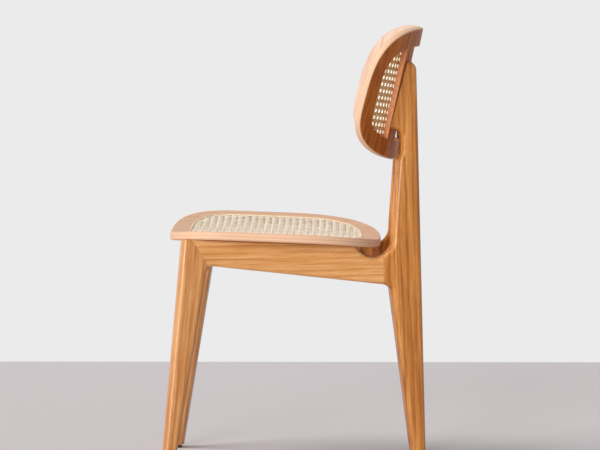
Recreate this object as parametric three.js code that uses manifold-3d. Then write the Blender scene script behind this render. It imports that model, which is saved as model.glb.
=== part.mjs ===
// A dining chair in oiled oak with cane webbing in its seat and back.
// Millimetres, +Z up. The sitter faces -Y, so +X is the sitter's left.
// The origin lies on the floor, below the middle of the chair's outer box.

import * as THREE from 'three';
import { mergeVertices } from 'three/addons/utils/BufferGeometryUtils.js';
import Module from 'manifold-3d';

const wasm = await Module();
wasm.setup();

// Fits shared by every joint
const jointGap = 0.3;
const cutOverrun = 40;
const weldTolerance = 0.0001;
const netWeld = 0.02;
const arcStep = THREE.MathUtils.degToRad(18);

// Side frames: flat planks that carry a front leg, a side rail and a rear leg.
// Reaches run along a frame from its middle, heights run up it from the floor.
const frameThickness = 30;
const frameSpread = 350;
const toeAngle = THREE.MathUtils.degToRad(11.7);
const leanAngle = THREE.MathUtils.degToRad(2.5);
const edgeRound = 7;
const edgeRoundSteps = 2;

// Feet
const footWidth = 20;
const frontFootReach = 241.5;
const rearFootReach = 241.3;
const glideHeight = 6;
const glideRadius = 7.5;
const glideEdge = 1.2;
const glidePinRadius = 2;
const glidePinLength = 16;

// Heights of the seat's face and of the back's middle, which the frames follow
const seatHeight = 435;
const backHeight = 668;

// Scoop between the side rail and the rear leg
const scoopWidth = 68;
const scoopSetback = 59.3;
const scoopDrop = 33.5;
const scoopRearReach = rearFootReach - scoopSetback;
const scoopFloorHeight = seatHeight - scoopDrop;

// Front leg and side rail
const frontEdgeFall = 43.7;
const frontLegTopReach = frontFootReach - frontEdgeFall;
const frontCornerSetback = 89.5;
const frontCornerReach = frontFootReach - frontCornerSetback;
const frontCornerDrop = 43;
const frontCornerHeight = seatHeight - frontCornerDrop;
const frontCornerFillet = 12;
const frontSeamSetback = 59.5;
const frontSeamTopReach = frontFootReach - frontSeamSetback;
const rearCornerSetback = 64.3;
const rearCornerReach = rearFootReach - rearCornerSetback;
const sideRailDepth = 50.5;
const rearCornerHeight = scoopFloorHeight - sideRailDepth;
const rearCornerFillet = 15;
const rearSeamSetback = 18;
const rearSeamReach = scoopRearReach - rearSeamSetback;

// Rear leg above the seat: a neck, a notch over the shell's lower edge and the hooked head
const rearEdgeFall = 11.4;
const rearEdgeTopReach = rearFootReach - rearEdgeFall;
const neckFootRise = 40.5;
const neckFootHeight = scoopFloorHeight + neckFootRise;
const neckRound = 90;
const neckWidth = 31.4;
const hookDrop = 39;
const hookHeight = backHeight - hookDrop;
const hookRound = 12;
const hookNoseRound = 9;
const notchLength = 41;
const notchRise = 14;
const notchDepth = 6.2;
const notchRound = 20;
const headRise = 83;
const headTopHeight = backHeight + headRise;
const headWidth = 36;
const headRound = 18;
const headFrontRound = 12;

// Seat: a dished ring of moulded plywood
const seatPitch = THREE.MathUtils.degToRad(2.06);
const seatMiddle = -66.5;
const seatOverhang = 52.5;
const seatWidth = frameSpread + 2 * seatOverhang;
const seatFlank = 65;
const seatFrontSetback = 115.5;
const seatFrontReach = frontFootReach - seatFrontSetback;
const seatRearSetback = 50.3;
const seatRearReach = rearFootReach - seatRearSetback;
const seatFrontPower = 3.1;
const seatRearPower = 2.85;
const seatDishRadius = 1438;
const seatThickness = 15;
const seatRim = 33;
const seatLip = 9;
const seatArris = 3;

// Back: a curved shell of moulded plywood with three windows
const backRecline = THREE.MathUtils.degToRad(13.8);
const backSetback = 52.3;
const backFace = rearFootReach - backSetback;
const backOverhang = 60;
const backWidth = frameSpread + 2 * backOverhang;
const backUpperReach = 144;
const backLowerReach = 97;
const backUpperPower = 3.15;
const backLowerPower = 3.4;
const backFaceRadius = 341;
const backThickness = 12;
const backRim = 23;
const backLip = 6;
const backArris = 2.5;
const backBarNear = 85.5;
const backBarWidth = 42;

// Cane webbing and the splines that hold it in its grooves
const outlineStations = 48;
const bendSteps = 24;
const barSteps = 5;
const grooveWidth = 4.5;
const grooveDepth = 6.5;
const caneThickness = 1.2;
const caneRecess = 1.8;
const caneBorder = 5;
const canePitch = 33;
const caneStrand = 15;
const caneCorner = 5;
const splineCrown = 0.6;
const splineShoulder = 0.8;

// Cross rails and corner blocks
const frontRailSetback = 47.5;
const frontRailFace = frontRailSetback - frontFootReach;
const frontRailThickness = 18;
const frontRailDepth = 40;
const bearerSetback = 123.3;
const bearerFace = rearFootReach - bearerSetback;
const bearerThickness = 22;
const bearerDepth = 38;
const rearRailSetback = 53.3;
const rearRailFace = rearFootReach - rearRailSetback;
const rearRailThickness = 22;
const rearRailRise = 9;
const rearRailHeight = rearCornerHeight + rearRailRise;
const rearRailDepth = 38;
const railRound = 4;
const blockLeg = 48;
const blockDepth = 30;

// Dowels, screws and plugs
const dowelRadius = 4;
const dowelHalfLength = 18;
const dowelFacets = 10;
const sideDowelPitch = 16;
const frontDowelRise = 14;
const frontDowelHeight = frontCornerHeight + frontDowelRise;
const rearDowelRise = 28;
const rearDowelHeight = rearCornerHeight + rearDowelRise;
const frontRailDowelPitch = 24;
const crossDowelPitch = 16;
const seatScrewLength = 38;
const seatScrewSink = 10;
const frontScrewReach = 150;
const bearerScrewReach = 60;
const bearerScrewSetback = 8;
const frontScrewSetback = 9;
const screwRadius = 2;
const screwHeadRadius = 4;
const screwHeadDepth = 2.6;
const screwPointLength = 4;
const backScrewPitch = 56;
const backScrewRise = 18;
const backScrewMiddle = backHeight + backScrewRise;
const backScrewBite = 7;
const plugRadius = 5;
const plugDepth = 5;
const roundFacets = 12;

// Finishes
const oak = new THREE.MeshStandardMaterial({ color: 0xc98d54, roughness: 0.5, metalness: 0 });
const veneer = new THREE.MeshStandardMaterial({ color: 0xd2a179, roughness: 0.45, metalness: 0 });
const cane = new THREE.MeshStandardMaterial({ color: 0xe6d6ab, roughness: 0.55, metalness: 0 });
const reed = new THREE.MeshStandardMaterial({ color: 0xe9dab2, roughness: 0.5, metalness: 0 });
const beech = new THREE.MeshStandardMaterial({ color: 0xd9b98a, roughness: 0.6, metalness: 0 });
const steel = new THREE.MeshStandardMaterial({ color: 0xb9b9b4, roughness: 0.35, metalness: 1 });
const nylon = new THREE.MeshStandardMaterial({ color: 0x1c1b1a, roughness: 0.7, metalness: 0 });

// Closed meshes, turned into solids and back

function bareGeometry(geometry) {
  const bare = geometry.clone();
  bare.deleteAttribute('normal');
  if (bare.getAttribute('uv')) bare.deleteAttribute('uv');
  return mergeVertices(bare, weldTolerance);
}

function solidOf(geometry) {
  const bare = bareGeometry(geometry);
  return new wasm.Manifold(new wasm.Mesh({
    numProp: 3,
    vertProperties: new Float32Array(bare.getAttribute('position').array),
    triVerts: new Uint32Array(bare.getIndex().array),
  }));
}

function geometryOf(solid) {
  const mesh = solid.getMesh();
  const geometry = new THREE.BufferGeometry();
  geometry.setAttribute('position', new THREE.BufferAttribute(new Float32Array(mesh.vertProperties), 3));
  geometry.setIndex(Array.from(mesh.triVerts));
  return geometry;
}

function closedGeometry(positions, faces) {
  const corner = (i) => new THREE.Vector3().fromArray(positions, i * 3);
  let volume = 0;
  for (let i = 0; i < faces.length; i += 3) {
    volume += corner(faces[i]).dot(corner(faces[i + 1]).cross(corner(faces[i + 2])));
  }
  if (volume < 0) faces.reverse();
  const geometry = new THREE.BufferGeometry();
  geometry.setAttribute('position', new THREE.BufferAttribute(new Float32Array(positions), 3));
  geometry.setIndex(faces);
  return geometry;
}

function mirrored(geometry) {
  const bare = bareGeometry(geometry);
  const index = Array.from(bare.getIndex().array).reverse();
  bare.scale(-1, 1, 1);
  bare.setIndex(index);
  return bare;
}

// Where each sub-assembly stands

function turnedGroup(x, y, z, turn) {
  const group = new THREE.Group();
  group.position.set(x, y, z);
  group.rotation.copy(turn);
  group.updateMatrix();
  return group;
}

const leftSide = turnedGroup(frameSpread / 2, 0, 0, new THREE.Euler(0, -leanAngle, toeAngle, 'ZYX'));
const rightSide = turnedGroup(-frameSpread / 2, 0, 0, new THREE.Euler(0, leanAngle, -toeAngle, 'ZYX'));
const seatGroup = turnedGroup(0, seatMiddle, seatHeight, new THREE.Euler(-seatPitch, 0, 0));
const backGroup = turnedGroup(0, backFace, backHeight, new THREE.Euler(Math.PI / 2 - backRecline, 0, 0));
const under = new THREE.Group();
const chair = new THREE.Group();
chair.add(leftSide, rightSide, seatGroup, backGroup, under);

function placedIn(group, geometry) {
  return geometry.clone().applyMatrix4(group.matrix);
}

function addPiece(group, name, geometry, material) {
  const own = geometry.clone().applyMatrix4(group.matrix.clone().invert());
  const shown = own.toNonIndexed();
  shown.computeVertexNormals();
  const mesh = new THREE.Mesh(shown, material);
  mesh.name = name;
  group.add(mesh);
}

function addPair(name, geometry, material) {
  addPiece(leftSide, `${name}_left`, geometry, material);
  addPiece(rightSide, `${name}_right`, mirrored(geometry), material);
}

// Outlines with a radius at every corner: each corner is [x, y, radius]

function cornerAt(corners, i) {
  const [x, y, radius] = corners[i];
  const before = corners.at(i - 1);
  const after = corners[(i + 1) % corners.length];
  const here = new THREE.Vector2(x, y);
  const back = new THREE.Vector2(before[0], before[1]).sub(here);
  const ahead = new THREE.Vector2(after[0], after[1]).sub(here);
  const edge = ahead.length();
  const cosine = back.normalize().dot(ahead.normalize());
  const half = Math.acos(THREE.MathUtils.clamp(cosine, -1, 1)) / 2;
  return { here, back, ahead, edge, half, radius, run: radius / Math.tan(half) };
}

// Two fillets that would meet on an edge are both made smaller until they fit

function roundedCorners(corners) {
  const all = corners.map((_, i) => cornerAt(corners, i));
  const room = all.map(({ edge, run }, i) => edge / (run + all[(i + 1) % all.length].run));
  const points = [];
  all.forEach(({ here, back, ahead, half, radius }, i) => {
    if (!radius || half > Math.PI / 2 - weldTolerance) {
      points.push(here);
      return;
    }
    const fitting = radius * Math.min(1, room[i], room.at(i - 1));
    const start = here.clone().addScaledVector(back, fitting / Math.tan(half));
    const middle = back.clone().add(ahead).normalize().multiplyScalar(fitting / Math.sin(half)).add(here);
    const sweep = Math.PI - 2 * half;
    const turn = -Math.sign(back.cross(ahead));
    const steps = Math.max(2, Math.ceil(sweep / arcStep));
    for (let k = 0; k <= steps; k += 1) {
      points.push(start.clone().rotateAround(middle, turn * sweep * k / steps));
    }
  });
  return points;
}

// A plank in a side frame's own plane: reach runs along Y, height along Z

const plankTurn = new THREE.Matrix4().makeBasis(
  new THREE.Vector3(0, 1, 0),
  new THREE.Vector3(0, 0, 1),
  new THREE.Vector3(1, 0, 0),
);

function framePlank(points) {
  const geometry = new THREE.ExtrudeGeometry(new THREE.Shape(points), {
    depth: frameThickness - 2 * edgeRound,
    bevelSize: edgeRound,
    bevelThickness: edgeRound,
    bevelOffset: -edgeRound,
    bevelSegments: edgeRoundSteps,
    steps: 1,
  });
  geometry.translate(0, 0, edgeRound - frameThickness / 2);
  return placedIn(leftSide, geometry.applyMatrix4(plankTurn));
}

function lineAt(from, to, height) {
  return from[0] + (to[0] - from[0]) * (height - from[1]) / (to[1] - from[1]);
}

function frameCorners() {
  const low = -cutOverrun;
  const frontEdge = [[-frontFootReach, 0], [-frontLegTopReach, seatHeight]];
  const frontInner = [[footWidth - frontFootReach, 0], [-frontCornerReach, frontCornerHeight]];
  const rearInner = [[rearFootReach - footWidth, 0], [rearCornerReach, rearCornerHeight]];
  const rearEdge = [[rearFootReach, 0], [rearEdgeTopReach, hookHeight]];
  const top = seatHeight + cutOverrun;
  const neckReach = rearEdgeTopReach - neckWidth;
  const notchFoot = hookHeight - notchLength;
  const headRear = lineAt(...rearEdge, headTopHeight);
  return [
    [lineAt(...frontEdge, low), low, 0],
    [lineAt(...frontInner, low), low, 0],
    [-frontCornerReach, frontCornerHeight, frontCornerFillet],
    [rearCornerReach, rearCornerHeight, rearCornerFillet],
    [lineAt(...rearInner, low), low, 0],
    [lineAt(...rearEdge, low), low, 0],
    [headRear, headTopHeight, headRound],
    [headRear - headWidth, headTopHeight, headFrontRound],
    [neckReach - headWidth, hookHeight, hookNoseRound],
    [neckReach, hookHeight, hookRound],
    [neckReach, notchFoot, notchRound],
    [neckReach - notchDepth, notchFoot - notchRise, notchRound],
    [scoopRearReach, neckFootHeight, neckRound],
    [scoopRearReach, scoopFloorHeight, scoopWidth / 2 - jointGap],
    [scoopRearReach - scoopWidth, scoopFloorHeight, scoopWidth / 2 - jointGap],
    [scoopRearReach - scoopWidth, top, 0],
    [lineAt(...frontEdge, top), top, 0],
  ];
}

// Sheets bent about one axis: a runs across, b along and t out of the hollow face

function bentPlace(radius) {
  return (a, b, t) => [(radius - t) * Math.sin(a / radius), b, radius - (radius - t) * Math.cos(a / radius)];
}

function bentBlock(place, a0, a1, b0, b1, t0, t1, steps) {
  const geometry = new THREE.BoxGeometry(a1 - a0, b1 - b0, t1 - t0, steps, 1, 1);
  geometry.translate((a0 + a1) / 2, (b0 + b1) / 2, (t0 + t1) / 2);
  const position = geometry.getAttribute('position');
  for (let i = 0; i < position.count; i += 1) {
    position.setXYZ(i, ...place(position.getX(i), position.getY(i), position.getZ(i)));
  }
  return geometry;
}

// A soft oval: two unlike halves of a superellipse with a straight flank between them

function softOutline(halfWidth, flank, [lowReach, lowPower], [highReach, highPower]) {
  const half = [];
  const fine = 10 * outlineStations;
  for (let k = 0; k <= fine; k += 1) {
    const angle = Math.PI * (k / fine - 1 / 2);
    const low = angle < 0;
    const power = 2 / (low ? lowPower : highPower);
    const along = Math.abs(Math.sin(angle)) ** power;
    const y = low ? -flank / 2 - lowReach * along : flank / 2 + highReach * along;
    half.push(new THREE.Vector2(halfWidth * Math.abs(Math.cos(angle)) ** power, y));
  }
  const walked = [0];
  half.forEach((point, k) => {
    if (k) walked.push(walked[k - 1] + point.distanceTo(half[k - 1]));
  });
  const right = [];
  let k = 0;
  for (let i = 0; i <= outlineStations / 2; i += 1) {
    const want = walked[fine] * i / (outlineStations / 2);
    while (k < fine - 1 && walked[k + 1] < want) k += 1;
    right.push(half[k].clone().lerp(half[k + 1], (want - walked[k]) / (walked[k + 1] - walked[k])));
  }
  right[0].x = 0;
  right[right.length - 1].x = 0;
  const left = right.slice(1, -1).reverse().map((point) => new THREE.Vector2(-point.x, point.y));
  return right.concat(left);
}

function insetOutline(outline, inset) {
  return outline.map((point, i) => {
    const before = outline[(i + outline.length - 1) % outline.length];
    const after = outline[(i + 1) % outline.length];
    const run = after.clone().sub(before).normalize();
    return new THREE.Vector2(point.x - run.y * inset, point.y + run.x * inset);
  });
}

function ringOf(outline, profile, place) {
  const loops = profile.map(([inset]) => insetOutline(outline, inset));
  const positions = [];
  outline.forEach((_, i) => {
    profile.forEach(([, height], k) => positions.push(...place(loops[k][i].x, loops[k][i].y, height)));
  });
  const faces = [];
  const rows = profile.length;
  outline.forEach((_, i) => {
    const next = (i + 1) % outline.length;
    for (let k = 0; k < rows; k += 1) {
      const up = (k + 1) % rows;
      faces.push(i * rows + k, next * rows + k, next * rows + up);
      faces.push(i * rows + k, next * rows + up, i * rows + up);
    }
  });
  return closedGeometry(positions, faces);
}

function frameRing(outline, rim, lip, thickness, arris, place) {
  const soft = arris * (1 - Math.SQRT1_2);
  return ringOf(outline, [
    [0, -arris],
    [soft, -soft],
    [arris, 0],
    [rim, 0],
    [rim, -grooveDepth],
    [rim + grooveWidth, -grooveDepth],
    [rim + grooveWidth, -caneRecess],
    [rim + grooveWidth + lip, -caneRecess],
    [rim + grooveWidth + lip, -thickness],
    [arris, -thickness],
    [soft, soft - thickness],
    [0, arris - thickness],
  ], place);
}

function splineRing(outline, rim, place) {
  const outer = rim + jointGap;
  const inner = rim + grooveWidth - jointGap;
  return ringOf(outline, [
    [outer, 0],
    [outer + splineShoulder, splineCrown],
    [inner - splineShoulder, splineCrown],
    [inner, 0],
    [inner, jointGap - grooveDepth],
    [outer, jointGap - grooveDepth],
  ], place);
}

// Cane webbing as a net: strands and crossings clipped to the opening, inside a solid border

function clippedTo(polygon, fence) {
  let kept = polygon;
  fence.forEach((a, i) => {
    const b = fence[(i + 1) % fence.length];
    const side = (p) => (b.x - a.x) * (p.y - a.y) - (b.y - a.y) * (p.x - a.x);
    const next = [];
    kept.forEach((p, j) => {
      const q = kept[(j + 1) % kept.length];
      const here = side(p);
      const there = side(q);
      if (here >= 0) next.push(p);
      if (here * there < 0) next.push(p.clone().lerp(q, here / (here - there)));
    });
    kept = next;
  });
  return kept;
}

function netCells(halfWidth, reach) {
  const half = caneStrand / 2;
  const arm = half + caneCorner;
  const cross = [[half, -arm], [arm, -half], [arm, half], [half, arm], [-half, arm], [-arm, half],
    [-arm, -half], [-half, -arm]];
  const along = [[arm, -half], [canePitch - arm, -half], [canePitch - arm, half], [arm, half]];
  const cells = [];
  const columns = Math.ceil(halfWidth / canePitch);
  const rows = Math.ceil(reach / canePitch);
  for (let i = -columns; i <= columns; i += 1) {
    for (let j = -rows; j <= rows; j += 1) {
      const at = ([x, y]) => new THREE.Vector2(i * canePitch + x, j * canePitch + y);
      cells.push(cross.map(at));
      cells.push(along.map(at));
      cells.push(along.map(([x, y]) => at([-y, x])));
    }
  }
  return cells;
}

// Corners of the net that lie along the edge from one corner to another

function cornersBetween(corners, from, to) {
  const run = corners[to].clone().sub(corners[from]);
  const found = [];
  corners.forEach((corner, id) => {
    if (id === from || id === to) return;
    const step = corner.clone().sub(corners[from]);
    const share = step.dot(run) / run.lengthSq();
    const off = Math.abs(run.cross(step)) / run.length();
    if (off < netWeld && share > 0 && share < 1) found.push([share, id]);
  });
  return found.sort((p, q) => p[0] - q[0]).map(([, id]) => id);
}

// A loop with every corner that touches it, started where its fan has no flat triangle

function fannedLoop(corners, loop) {
  const sides = loop.map((id, k) => [id, ...cornersBetween(corners, id, loop[(k + 1) % loop.length])]);
  const plain = sides.findIndex((side, k) => side.length === 1 && sides.at(k - 1).length === 1);
  const first = Math.max(plain, 0);
  return [...sides.slice(first), ...sides.slice(0, first)].flat();
}

function netOf(outline, inset, high, place) {
  const outer = insetOutline(outline, inset);
  const inner = insetOutline(outline, inset + caneBorder);
  const halfWidth = Math.max(...outer.map((point) => point.x));
  const reach = Math.max(...outer.map((point) => Math.abs(point.y)));
  const polygons = netCells(halfWidth, reach).map((cell) => clippedTo(cell, inner));
  inner.forEach((point, i) => {
    const next = (i + 1) % inner.length;
    polygons.push([outer[i], outer[next], inner[next], point]);
  });

  const corners = [];
  const idOf = (point) => {
    const known = corners.findIndex((corner) => corner.distanceTo(point) < netWeld);
    return known < 0 ? corners.push(point) - 1 : known;
  };
  const loops = polygons
    .map((polygon) => polygon.map(idOf).filter((id, k, all) => id !== all[(k + 1) % all.length]))
    .filter((loop) => loop.length > 2)
    .map((loop) => fannedLoop(corners, loop));
  const faces = [];
  const edges = new Set(loops.flatMap((loop) => loop.map((id, k) => `${id},${loop[(k + 1) % loop.length]}`)));
  const floor = corners.length;
  loops.forEach((loop) => {
    for (let k = 1; k < loop.length - 1; k += 1) {
      faces.push(loop[0], loop[k], loop[k + 1]);
      faces.push(floor + loop[0], floor + loop[k + 1], floor + loop[k]);
    }
    loop.forEach((id, k) => {
      const next = loop[(k + 1) % loop.length];
      if (edges.has(`${next},${id}`)) return;
      faces.push(id, floor + id, floor + next);
      faces.push(id, floor + next, next);
    });
  });
  const positions = [
    ...corners.flatMap((point) => place(point.x, point.y, high)),
    ...corners.flatMap((point) => place(point.x, point.y, high - caneThickness)),
  ];
  return closedGeometry(positions, faces);
}

// Round pieces between two points

function pinBetween(from, to, radius) {
  const run = to.clone().sub(from);
  const geometry = new THREE.CylinderGeometry(radius, radius, run.length(), dowelFacets);
  geometry.translate(0, run.length() / 2, 0);
  geometry.applyQuaternion(new THREE.Quaternion().setFromUnitVectors(new THREE.Vector3(0, 1, 0), run.normalize()));
  return geometry.translate(from.x, from.y, from.z);
}

function turned(profile, facets) {
  return new THREE.LatheGeometry(profile.map(([r, y]) => new THREE.Vector2(r, y)), facets);
}

function screwAt(head, direction, length, spare) {
  const geometry = turned([
    [0, -spare],
    [screwHeadRadius + spare, -spare],
    [screwRadius + spare, screwHeadDepth + spare],
    [screwRadius + spare, length - screwPointLength],
    [0, length + spare],
  ], roundFacets);
  geometry.applyQuaternion(new THREE.Quaternion().setFromUnitVectors(new THREE.Vector3(0, 1, 0), direction));
  return geometry.translate(head.x, head.y, head.z);
}

function joined(geometries) {
  return geometries.map(solidOf).reduce((all, one) => all.add(one));
}

function bothSides(geometries) {
  return geometries.concat(geometries.map(mirrored));
}

// The bent sheets and the room they take out of the frames

const seatPlace = bentPlace(seatDishRadius);
const backPlace = bentPlace(backFaceRadius);
const seatOutline = softOutline(
  seatWidth / 2,
  seatFlank,
  [seatFrontReach, seatFrontPower],
  [seatRearReach, seatRearPower],
);
const backOutline = softOutline(
  backWidth / 2,
  0,
  [backLowerReach, backLowerPower],
  [backUpperReach, backUpperPower],
);
const scoopMiddle = (scoopRearReach - scoopWidth / 2) * Math.cos(toeAngle) - seatMiddle;

const seatRoom = solidOf(placedIn(seatGroup, bentBlock(
  seatPlace,
  -seatWidth / 2,
  seatWidth / 2,
  -seatFlank / 2 - seatFrontReach - cutOverrun,
  scoopMiddle,
  -seatThickness - jointGap,
  2 * cutOverrun,
  bendSteps,
)));

const backRoom = solidOf(placedIn(backGroup, bentBlock(
  backPlace,
  -backWidth / 2,
  backWidth / 2,
  -backLowerReach,
  backUpperReach,
  -backThickness - jointGap,
  2 * cutOverrun,
  bendSteps,
)));

// Room blocks: below the floor line of the legs, outside a side frame's inner face

const frameFloor = solidOf(new THREE.BoxGeometry(2 * seatWidth, 2 * seatWidth, 2 * cutOverrun)
  .translate(0, 0, glideHeight - cutOverrun));

function besideFrame(spare) {
  const block = new THREE.BoxGeometry(frameSpread, 2 * seatWidth, 2 * headTopHeight);
  block.translate((frameSpread - frameThickness) / 2 - spare, 0, 0);
  return placedIn(leftSide, block);
}

const outside = joined(bothSides([besideFrame(jointGap)]));

// A block in the plane of the left frame, behind a seam that climbs through two points

function seamBlock(from, to, spare) {
  const run = new THREE.Vector2(to[0] - from[0], to[1] - from[1]);
  const reach = 2 * headTopHeight;
  const block = new THREE.BoxGeometry(2 * frameThickness, reach, 2 * reach);
  block.translate(0, reach / 2 + spare, 0);
  block.rotateX(Math.atan2(run.y, run.x) - Math.PI / 2);
  block.translate(0, from[0], from[1]);
  return solidOf(placedIn(leftSide, block));
}

// Side frame joinery, in the left frame's own plane

const seatLine = seatHeight + frontFootReach * Math.tan(seatPitch) - seatThickness;
const frontSeam = [[-frontCornerReach, frontCornerHeight], [-frontSeamTopReach, seatLine]];
const rearSeam = [[rearSeamReach, rearCornerHeight], [rearSeamReach, scoopFloorHeight]];

function inFrame(reach, height) {
  return new THREE.Vector3(0, reach, height).applyMatrix4(leftSide.matrix);
}

function seamDowels(seam, middle, radius, spare) {
  return [-1, 1].map((half) => {
    const height = middle + half * sideDowelPitch / 2;
    const reach = lineAt(...seam, height);
    return pinBetween(
      inFrame(reach - dowelHalfLength - spare, height),
      inFrame(reach + dowelHalfLength + spare, height),
      radius,
    );
  });
}

const headFall = new THREE.Vector3(0, -Math.cos(backRecline), Math.sin(backRecline));
const backScrewTurn = headFall.transformDirection(leftSide.matrix);

function backScrewHeads() {
  return [-1, 1].map((half) => {
    const height = backScrewMiddle + half * backScrewPitch / 2;
    const rearReach = lineAt([rearFootReach, 0], [rearEdgeTopReach, hookHeight], height);
    return inFrame(rearReach, height).addScaledVector(backScrewTurn, plugDepth + jointGap);
  });
}

// How far a screw has to run from its head to bite into the rear of the shell

function backScrewLength(head) {
  const toBack = backGroup.matrix.clone().invert();
  const from = head.clone().applyMatrix4(toBack);
  const run = backScrewTurn.clone().transformDirection(toBack);
  const rearFace = backFaceRadius - Math.sqrt((backFaceRadius + backThickness) ** 2 - from.x ** 2);
  return (rearFace - from.z) / run.z + backScrewBite;
}

function backScrews(spare) {
  return backScrewHeads().map((head) => screwAt(head, backScrewTurn, backScrewLength(head), spare));
}

function backPlugs(spare, overrun) {
  return backScrewHeads().map((head) => pinBetween(
    head.clone().addScaledVector(backScrewTurn, -plugDepth - overrun),
    head.clone().addScaledVector(backScrewTurn, -jointGap + spare),
    plugRadius + spare,
  ));
}

const blank = solidOf(framePlank(roundedCorners(frameCorners())))
  .subtract(frameFloor)
  .subtract(seatRoom)
  .subtract(backRoom);

function glideAt(reach, spare) {
  const place = new THREE.Vector3(0, reach, 0).applyMatrix4(leftSide.matrix);
  const disc = turned([
    [0, 0],
    [glideRadius - glideEdge, 0],
    [glideRadius, glideEdge],
    [glideRadius, glideHeight - jointGap],
    [glidePinRadius + spare, glideHeight - jointGap],
    [glidePinRadius + spare, glideHeight + glidePinLength + spare],
    [0, glideHeight + glidePinLength + spare],
  ], roundFacets);
  return disc.rotateX(Math.PI / 2).translate(place.x, place.y, 0);
}

const frontFoot = footWidth / 2 - frontFootReach;
const rearFoot = rearFootReach - footWidth / 2;

// Cross rails between the frames, with softened long edges

function crossRail(face, thickness, low, high) {
  const points = roundedCorners([
    [face, low, railRound],
    [face + thickness, low, railRound],
    [face + thickness, high, 0],
    [face, high, 0],
  ]);
  const geometry = new THREE.ExtrudeGeometry(new THREE.Shape(points), {
    depth: frameSpread * 2,
    bevelEnabled: false,
    steps: 1,
  });
  geometry.translate(0, 0, -frameSpread);
  return solidOf(geometry.applyMatrix4(plankTurn)).subtract(outside);
}

function seatFaceHeight(across, along) {
  const [, , rise] = seatPlace(across, 0, 0);
  return seatHeight + rise - (along - seatMiddle) * Math.tan(seatPitch);
}

const frontRailLow = frontCornerHeight;
const bearerLow = seatFaceHeight(0, bearerFace) - seatThickness - bearerDepth;
const frontRailDowelHeight = frontRailLow + frontRailDepth / 2;
const bearerDowelHeight = bearerLow + bearerDepth / 2 - dowelRadius;
const rearRailDowelHeight = rearRailHeight + rearRailDepth / 2;

// Where a straight line across the chair meets the inner face of the left frame

function innerFaceAt(along, height) {
  const rise = height * Math.tan(leanAngle);
  const reach = along / Math.cos(toeAngle);
  return frameSpread / 2 - rise - reach * Math.sin(toeAngle) - frameThickness / 2 / Math.cos(toeAngle);
}

function crossDowels(along, height, pitch, radius, spare) {
  return [-1, 1].map((half) => {
    const up = height + half * pitch / 2;
    const meet = innerFaceAt(along, up);
    return pinBetween(
      new THREE.Vector3(meet - dowelHalfLength - spare, along, up),
      new THREE.Vector3(meet + dowelHalfLength + spare, along, up),
      radius,
    );
  });
}

function dowelSets(radius, spare) {
  const frontMiddle = frontRailFace + frontRailThickness / 2;
  const bearerMiddle = bearerFace + bearerThickness / 2;
  const rearMiddle = rearRailFace + rearRailThickness / 2;
  return {
    front_seam_dowel: seamDowels(frontSeam, frontDowelHeight, radius, spare),
    rear_seam_dowel: seamDowels(rearSeam, rearDowelHeight, radius, spare),
    front_rail_dowel: crossDowels(frontMiddle, frontRailDowelHeight, frontRailDowelPitch, radius, spare),
    bearer_dowel: crossDowels(bearerMiddle, bearerDowelHeight, crossDowelPitch, radius, spare),
    rear_rail_dowel: crossDowels(rearMiddle, rearRailDowelHeight, crossDowelPitch, radius, spare),
  };
}

// Screws up into the seat ring

const seatScrewPlaces = [
  new THREE.Vector3(frontScrewReach, frontRailFace + frontScrewSetback, frontRailLow + seatScrewSink),
  new THREE.Vector3(bearerScrewReach, bearerFace + bearerThickness - bearerScrewSetback, bearerLow + seatScrewSink),
];

function seatScrews(spare) {
  const up = new THREE.Vector3(0, 0, 1);
  return seatScrewPlaces.map((head) => screwAt(head, up, seatScrewLength, spare));
}

function screwBores() {
  return seatScrewPlaces.map((head) => {
    const mouth = new THREE.Vector3(head.x, head.y, head.z - seatScrewSink - cutOverrun);
    return pinBetween(mouth, head, screwHeadRadius + jointGap);
  });
}

// Cut and place every piece

const holes = Object.values(dowelSets(dowelRadius + jointGap, jointGap)).flat();
const dowelHoles = joined(bothSides(holes));
const backHoles = joined([...backScrews(jointGap), ...backPlugs(jointGap, cutOverrun)]);
const glideHoles = joined([glideAt(frontFoot, jointGap), glideAt(rearFoot, jointGap)]);
const seatHoles = joined(bothSides([...seatScrews(jointGap), ...screwBores()]));
const frameBlank = blank.subtract(dowelHoles).subtract(glideHoles);

const aheadOfRear = frameBlank.subtract(seamBlock(...rearSeam, -jointGap / 2));
const frontLeg = aheadOfRear.subtract(seamBlock(...frontSeam, -jointGap / 2));
const sideRail = aheadOfRear.intersect(seamBlock(...frontSeam, jointGap / 2));
const rearLeg = frameBlank.intersect(seamBlock(...rearSeam, jointGap / 2)).subtract(backHoles);

addPair('front_leg', geometryOf(frontLeg), oak);
addPair('side_rail', geometryOf(sideRail), oak);
addPair('rear_leg', geometryOf(rearLeg), oak);
addPair('front_glide', glideAt(frontFoot, 0), nylon);
addPair('rear_glide', glideAt(rearFoot, 0), nylon);

const frontRail = crossRail(frontRailFace, frontRailThickness, frontRailLow, seatHeight + cutOverrun)
  .subtract(seatRoom)
  .subtract(dowelHoles)
  .subtract(seatHoles);
const bearer = crossRail(bearerFace, bearerThickness, bearerLow, seatHeight + cutOverrun)
  .subtract(seatRoom)
  .subtract(dowelHoles)
  .subtract(seatHoles);
const rearRail = crossRail(rearRailFace, rearRailThickness, rearRailHeight, rearRailHeight + rearRailDepth)
  .subtract(dowelHoles);
addPiece(under, 'front_rail', geometryOf(frontRail), oak);
addPiece(under, 'seat_bearer', geometryOf(bearer), oak);
addPiece(under, 'rear_rail', geometryOf(rearRail), oak);

// Corner blocks glued in behind the front rail

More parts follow.
